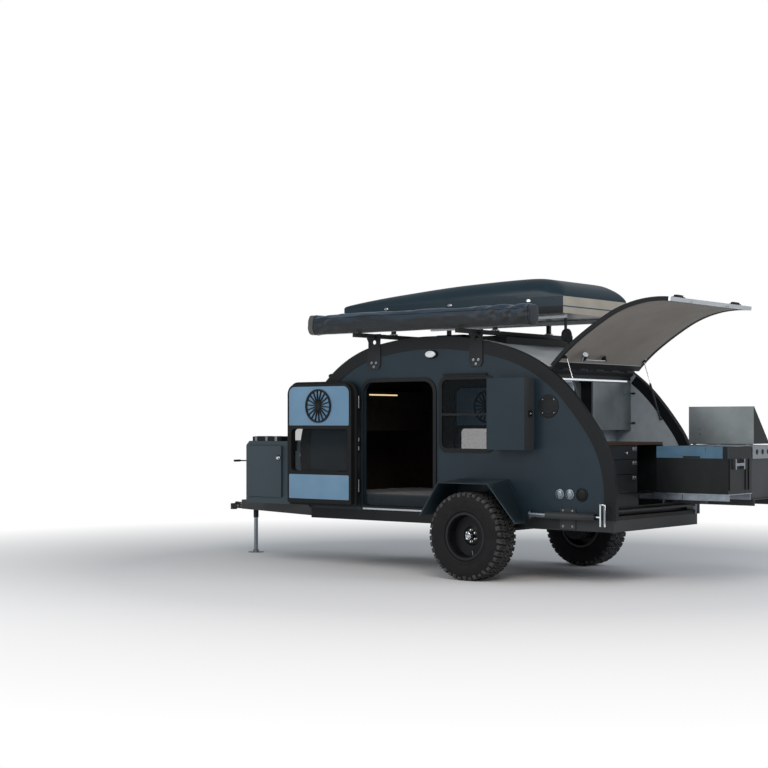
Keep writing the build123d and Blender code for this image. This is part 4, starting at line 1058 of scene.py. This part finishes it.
mesh = bmesh.new()
topLine = cornersCut(cornersCut(roofBox["top"]))
outer = lidRows(mesh, topLine, roofBox["half"])
inner = lidRows(mesh, shelled(topLine, roofBox["wall"]), roofBox["half"] - roofBox["wall"])
for end in (0, -1):
    bridge(mesh, [row[end] for row in outer], [row[end] for row in inner], False)
    bridge(mesh, outer[end], inner[end], False)
for x in roofBox["barrels"]:
    addTurned(mesh, spot(x, *roofBox["barrelAt"]), -back, roofBox["barrel"], 20)
lid = makePiece(mesh, "roofBoxLid", "roof_box_cover", "glossShell", angle=42, slotName="roof_box_black")
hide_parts("roof_box_lid")
boxPiece("roofBoxLine", "trailer", ("blueSeal",), (roofBox["line"],))
mesh = bmesh.new()
for x in roofBox["locks"]:
    addTurned(mesh, spot(x, *roofBox["lockAt"]), left, roofBox["lock"], 28, roofBox["lockHalf"])
makePiece(mesh, "roofBoxLocks", "trailer", "chrome", angle=30)
print("box fittings made")

# Cabin: nose shelf's fascia with the warm light strip under its top edge
cabin = {
    "fascia": ((1744, 1760), (-690, 690), (1560, 1725), 0, 0),
    "strip": ((1739, 1744.2), (-136, 311), (1684, 1697), 2, 0),
}
boxPiece("shelfFascia", "trailer", ("cabinCarpet",), (cabin["fascia"],), 3)
boxPiece("cabinStrip", "trailer", ("warmStrip",), (cabin["strip"],), 1)

# Upper galley: grey cupboard over the counter's right half with its clips, diffuser of the light bar
cupboard = {
    "body": ((-640, -501), (-702, -24), (1344, 1789), 0, 0),
    "front": ((-658, -640), (-702, -22), (1342, 1790), 0, 1),
    "clips": (1689, 1408), "diffuser": ((-672.5, -669.8), (-612, 612), (1795, 1809), 1, 0),
    # the clips' two blocks: along, across, half height, chamfer
    "clip": (((-706, -672), (-705, -694), 9, 3), ((-672, -657), (-705, -697), 5, 2)),
}
boxPiece("greyCupboard", "trailer", ("blackPly", "greySheet"), (cupboard["body"], cupboard["front"]), 2.5)
boxPiece("cupboardClips", "trailer", ("mouldedBlack",), [
    (x, y, (z - half, z + half), chamfer, 0)
    for z in cupboard["clips"] for x, y, half, chamfer in cupboard["clip"]
], 1)

# Black edging on the walls' inner faces round the hatch opening
edging = {"from": 1.2, "turn": 52.6, "steps": 60, "inset": (1, 92), "y": 705, "thick": 2.2}
mesh = bmesh.new()
for s in (1, -1):
    loops = []
    for y in (edging["y"], edging["y"] - edging["thick"]):
        turns = [edging["from"] + edging["turn"] * k / edging["steps"] for k in range(edging["steps"] + 1)]
        rows = [[outlinePoint(turn, inset) for turn in turns] for inset in edging["inset"]]
        loops += [[mesh.verts.new(spot(x, s * y, z)) for x, z in row] for row in rows]
    for one, other in ((0, 1), (3, 2), (2, 0), (1, 3)):
        bridge(mesh, loops[one], loops[other], False)
    for end in (0, -1):
        mesh.faces.new([loops[number][end] for number in (0, 1, 3, 2)])
makePiece(mesh, "galleyEdging", "trailer", "blackTrim", angle=30)
boxPiece("galleyDiffuser", "trailer", ("whiteStrip",), (cupboard["diffuser"],))

# Drawers: a latch each at its left end, and a knob on the top one
latch = {"levels": {"low": 933, "middle": 1063, "top": 1186}, "y": (222, 284), "pull": (226, 250)}
for number, (level, z) in enumerate(latch["levels"].items(), 1):
    boxPiece(f"drawerLatch{number}", f"drawer_{level}", ("anodised", "chrome"), (
        ((-1262, -1256.5), latch["y"], (z - 9, z + 9), 4, 0),
        ((-1266, -1261), latch["pull"], (z - 5, z + 5), 2, 1),
    ), 1)
knob = {"at": (-1253, 400, 1146), "profile": ((9, 0), (8, 6), (12, 12), (13, 18), (10, 22), (0, 23))}
turnedPiece("drawerKnob", "drawer_top", ("chrome",), ((spot(*knob["at"]), back, knob["profile"], 24, 0),))
print("galley fittings made")

# Hatch lamp on its arm, held under the hatch's upper end near the middle
hatchLamp = {
    "turn": 48.4, "inset": 6.5, "y": 100, "aimTurn": 44, "aim": (0.85, 0.5), "arm": 6.5,
    "foot": ((26, 0), (26, 9), (22, 13), (0, 13)),
    "stem": ((14, 0), (14, 22), (11, 26), (0, 27)), "stemOut": 12,
    # the arm's points: out of the hatch, along the crosswise line
    "reach": ((30, 0), (34, 20), (35, 100), (35, 240), (35, 380)),
    "joint": ((0, 0), (13, 2), (16, 12), (13, 22), (0, 24)), "jointBack": 12, "lensOut": 70,
    "shell": ((0, 0), (18, 2), (24, 14), (27, 40), (30, 84), (29, 90), (26, 90), (25, 84)),
    "lens": ((26, 0), (26, 2), (12, 4), (0, 5)),
}
mesh = bmesh.new()
root = onHatch(hatchLamp["turn"], hatchLamp["inset"], hatchLamp["y"])
away = (onHatch(hatchLamp["turn"], 30, hatchLamp["y"]) - root).normalized()
run = (onHatch(hatchLamp["aimTurn"], hatchLamp["inset"], hatchLamp["y"]) - root).normalized()
aim = (run * hatchLamp["aim"][0] + left * hatchLamp["aim"][1]).normalized()
arm = [root + (away * out + left * along) / 1000 for out, along in hatchLamp["reach"]]
head = arm[-1]
addTurned(mesh, root, away, hatchLamp["foot"], 28)
addTurned(mesh, root + away * hatchLamp["stemOut"] / 1000, away, hatchLamp["stem"], 24)
addTurned(mesh, head - left * hatchLamp["jointBack"] / 1000, left, hatchLamp["joint"], 24)
mark(mesh, 0)
addTube(mesh, arm, hatchLamp["arm"], 14)
addTurned(mesh, head - aim * hatchLamp["jointBack"] / 1000, aim, hatchLamp["shell"], 32)
mark(mesh, 1)
addTurned(mesh, head + aim * hatchLamp["lensOut"] / 1000, aim, hatchLamp["lens"], 32)
mark(mesh, 2)
makePiece(mesh, "hatchLamp", "hatch_leaf", "mouldedBlack", "chrome", "clearLens")

# Two compression latches on the hatch's outer skin by its free edge
hatchLatch = {
    "y": (520, -520), "turn": 2.6, "out": -46.2, "aimOut": -60, "aimTurn": 4, "corners": 24,
    # steps: half width, half depth, low and high in mm off the skin, number of its material
    "steps": ((78, 34, 0, 8, 0), (60, 22, 8, 22, 0), (52, 8, 21, 25, 1)),
}
mesh = bmesh.new()
for y in hatchLatch["y"]:
    base = onHatch(hatchLatch["turn"], hatchLatch["out"], y)
    out = (onHatch(hatchLatch["turn"], hatchLatch["aimOut"], y) - base).normalized()
    along = (onHatch(hatchLatch["aimTurn"], hatchLatch["out"], y) - base).normalized()
    for wide, deep, low, high, index in hatchLatch["steps"]:
        ring = []
        for k in range(hatchLatch["corners"]):
            side, rise = squared(2 * math.pi * k / hatchLatch["corners"], 0.5)
            ring.append(base + (left * side * wide + along * rise * deep + out * low) / 1000)
        addSlab(mesh, ring, out * (high - low) / 1000)
        mark(mesh, index)
makePiece(mesh, "hatchLatches", "hatch_leaf", "mouldedBlack", "chrome", bevel=2)

# Fridge: end cap, side posts, badge place and catch, with the display on the cap
fridgeParts = (
    ((-2122, -2064), (-269.5, 176.5), (1098, 1207), 6, 0),
    *[((-2128, -2119.5), (y - 9, y + 9), (830, 1098), 3, 0) for y in (-212, -150, 150)],
    ((-1855, -1690), (174.5, 177.2), (1107, 1122), 2, 0), ((-1914, -1906), (-110, 20), (1180, 1208), 2, 0),
    ((-2112, -2076), (-105, 15), (1206.5, 1208.5), 4, 1),
)
boxPiece("fridgeFittings", "fridge", ("mouldedBlack", "displayGlass"), fridgeParts, 2)

# Cooker: flat knobs that clear the folded lid, and burner caps
knobs = {
    "x": -2111.5, "y": (-610, -500, -390), "z": 1154,
    "profile": ((24, 0), (24, 1), (20, 1.6), (19, 4), (17, 4.6), (0, 4.6)),
}
burners = {"x": (-1955, -1650), "y": -500, "z": 1198.5, "profile": ((40, 0), (40, 3), (36, 5), (0, 5.5))}
turnedPiece("cookerKnobs", "kitchen", ("mouldedBlack",), [
    (spot(knobs["x"], y, knobs["z"]), back, knobs["profile"], 28, 0) for y in knobs["y"]
], 30)
turnedPiece("burnerCaps", "kitchen", ("castIron",), [
    (spot(x, burners["y"], burners["z"]), up, burners["profile"], 32, 0) for x in burners["x"]
], 30)

# Doors: lock cylinders by the handles
lock = {
    "z": 1088, "places": {"left": (2246, 794), "right": (659, -776)},
    "profile": ((13, 0), (13, 3), (11, 5), (3, 5), (3, 3), (0, 3)),
}
for name, (x, y) in lock["places"].items():
    row = (spot(x, y, lock["z"]), -left, lock["profile"], 24, 0)
    turnedPiece(f"{name}DoorLock", f"door_{name}", ("chrome",), (row,), 30)

# Tongue: bolts of the jack's plate and of the coupler
tongue = {"jack": ((3562, 3658), 58, 578, (13, 11, 7)), "coupler": ((3800, 3850), 32, 500, (14, 11, 8))}
mesh = bmesh.new()
for s in (1, -1):
    for part, out in (("jack", up), ("coupler", left * s)):
        places, y, z, size = tongue[part]
        for x in places:
            addBolt(mesh, spot(x, s * y, z), out, *size)
makePiece(mesh, "tongueBolts", "trailer", "zincPlate", angle=30)
print("fittings made")

# Pale floor that fades to the white backdrop, white surroundings for the eye and softer ones as light
stage = {
    "middle": (-3.4, 0, groundZ), "fade": (3.6, 8.0), "half": 60, "floor": "#f1f2f3",
    "sky": "#e8eef4", "skyLevel": 0.4,
}
far = stage["half"]
corners = [(x, y, groundZ) for x, y in ((-far, -far), (far, -far), (far, far), (-far, far))]
floorMesh = bpy.data.meshes.new("floor")
floorMesh.from_pydata(corners, [], [(0, 1, 2, 3)])
floor = bpy.data.objects.new("floor", floorMesh)
scene.collection.objects.link(floor)
tree, shader = startFinish("paleFloor", stage["floor"], 0.9)
floorMesh.materials.append(finish["paleFloor"])
coords = addNode(tree, "ShaderNodeTexCoord")
offset = addNode(
    tree, "ShaderNodeVectorMath", {0: coords.outputs["Object"], 1: stage["middle"]}, operation="SUBTRACT",
)
length = addNode(tree, "ShaderNodeVectorMath", {0: offset.outputs["Vector"]}, operation="LENGTH")
distance = length.outputs["Value"]
plug(tree, shader, {
    "Base Color": shadeOf(tree, distance, stage["floor"], "#000000", *stage["fade"]),
    "Emission Color": shadeOf(tree, distance, "#000000", "#ffffff", *stage["fade"]),
    "Emission Strength": 1.0, "Specular IOR Level": 0.0,
})
world = bpy.data.worlds.new("studio")
scene.world = world
world.use_nodes = True
sky = world.node_tree
soft = sky.nodes["Background"]
plug(sky, soft, {"Color": srgb(stage["sky"]), "Strength": stage["skyLevel"]})
white = addNode(sky, "ShaderNodeBackground", {"Color": srgb("#ffffff"), "Strength": 1.0})
path = addNode(sky, "ShaderNodeLightPath")
seen = addNode(sky, "ShaderNodeMath", {
    0: path.outputs["Is Camera Ray"], 1: path.outputs["Is Transmission Ray"],
}, operation="MAXIMUM")
both = addNode(sky, "ShaderNodeMixShader", {0: seen.outputs[0], 1: soft.outputs[0], 2: white.outputs[0]})
plug(sky, sky.nodes["World Output"], {"Surface": both.outputs[0]})

# Soft disc lamps
lamps = {
    "keyLamp": {"place": (-9.5, 7, 6.5), "aim": (-3.9, 0, 0.6), "size": 6, "power": 340, "colour": "#fff4ea"},
    "rearLamp": {
        "place": (-12.5, -2.5, 4.5), "aim": (-4.4, 0, 0.8), "size": 4, "power": 200, "colour": "#f1f5ff",
    },
    "sideLamp": {"place": (-1, 8.5, 4), "aim": (-3.4, 0, 0.5), "size": 5, "power": 170, "colour": "#ffffff"},
}
for name, values in lamps.items():
    light = bpy.data.lights.new(name, "AREA")
    light.shape = "DISK"
    light.size = values["size"]
    light.energy = values["power"]
    light.color = srgb(values["colour"])[:3]
    lamp = bpy.data.objects.new(name, light)
    scene.collection.objects.link(lamp)
    lamp.location = values["place"]
    aim = Vector(values["aim"]) - Vector(values["place"])
    lamp.rotation_euler = aim.to_track_quat("-Z", "Y").to_euler()
print("stage done")
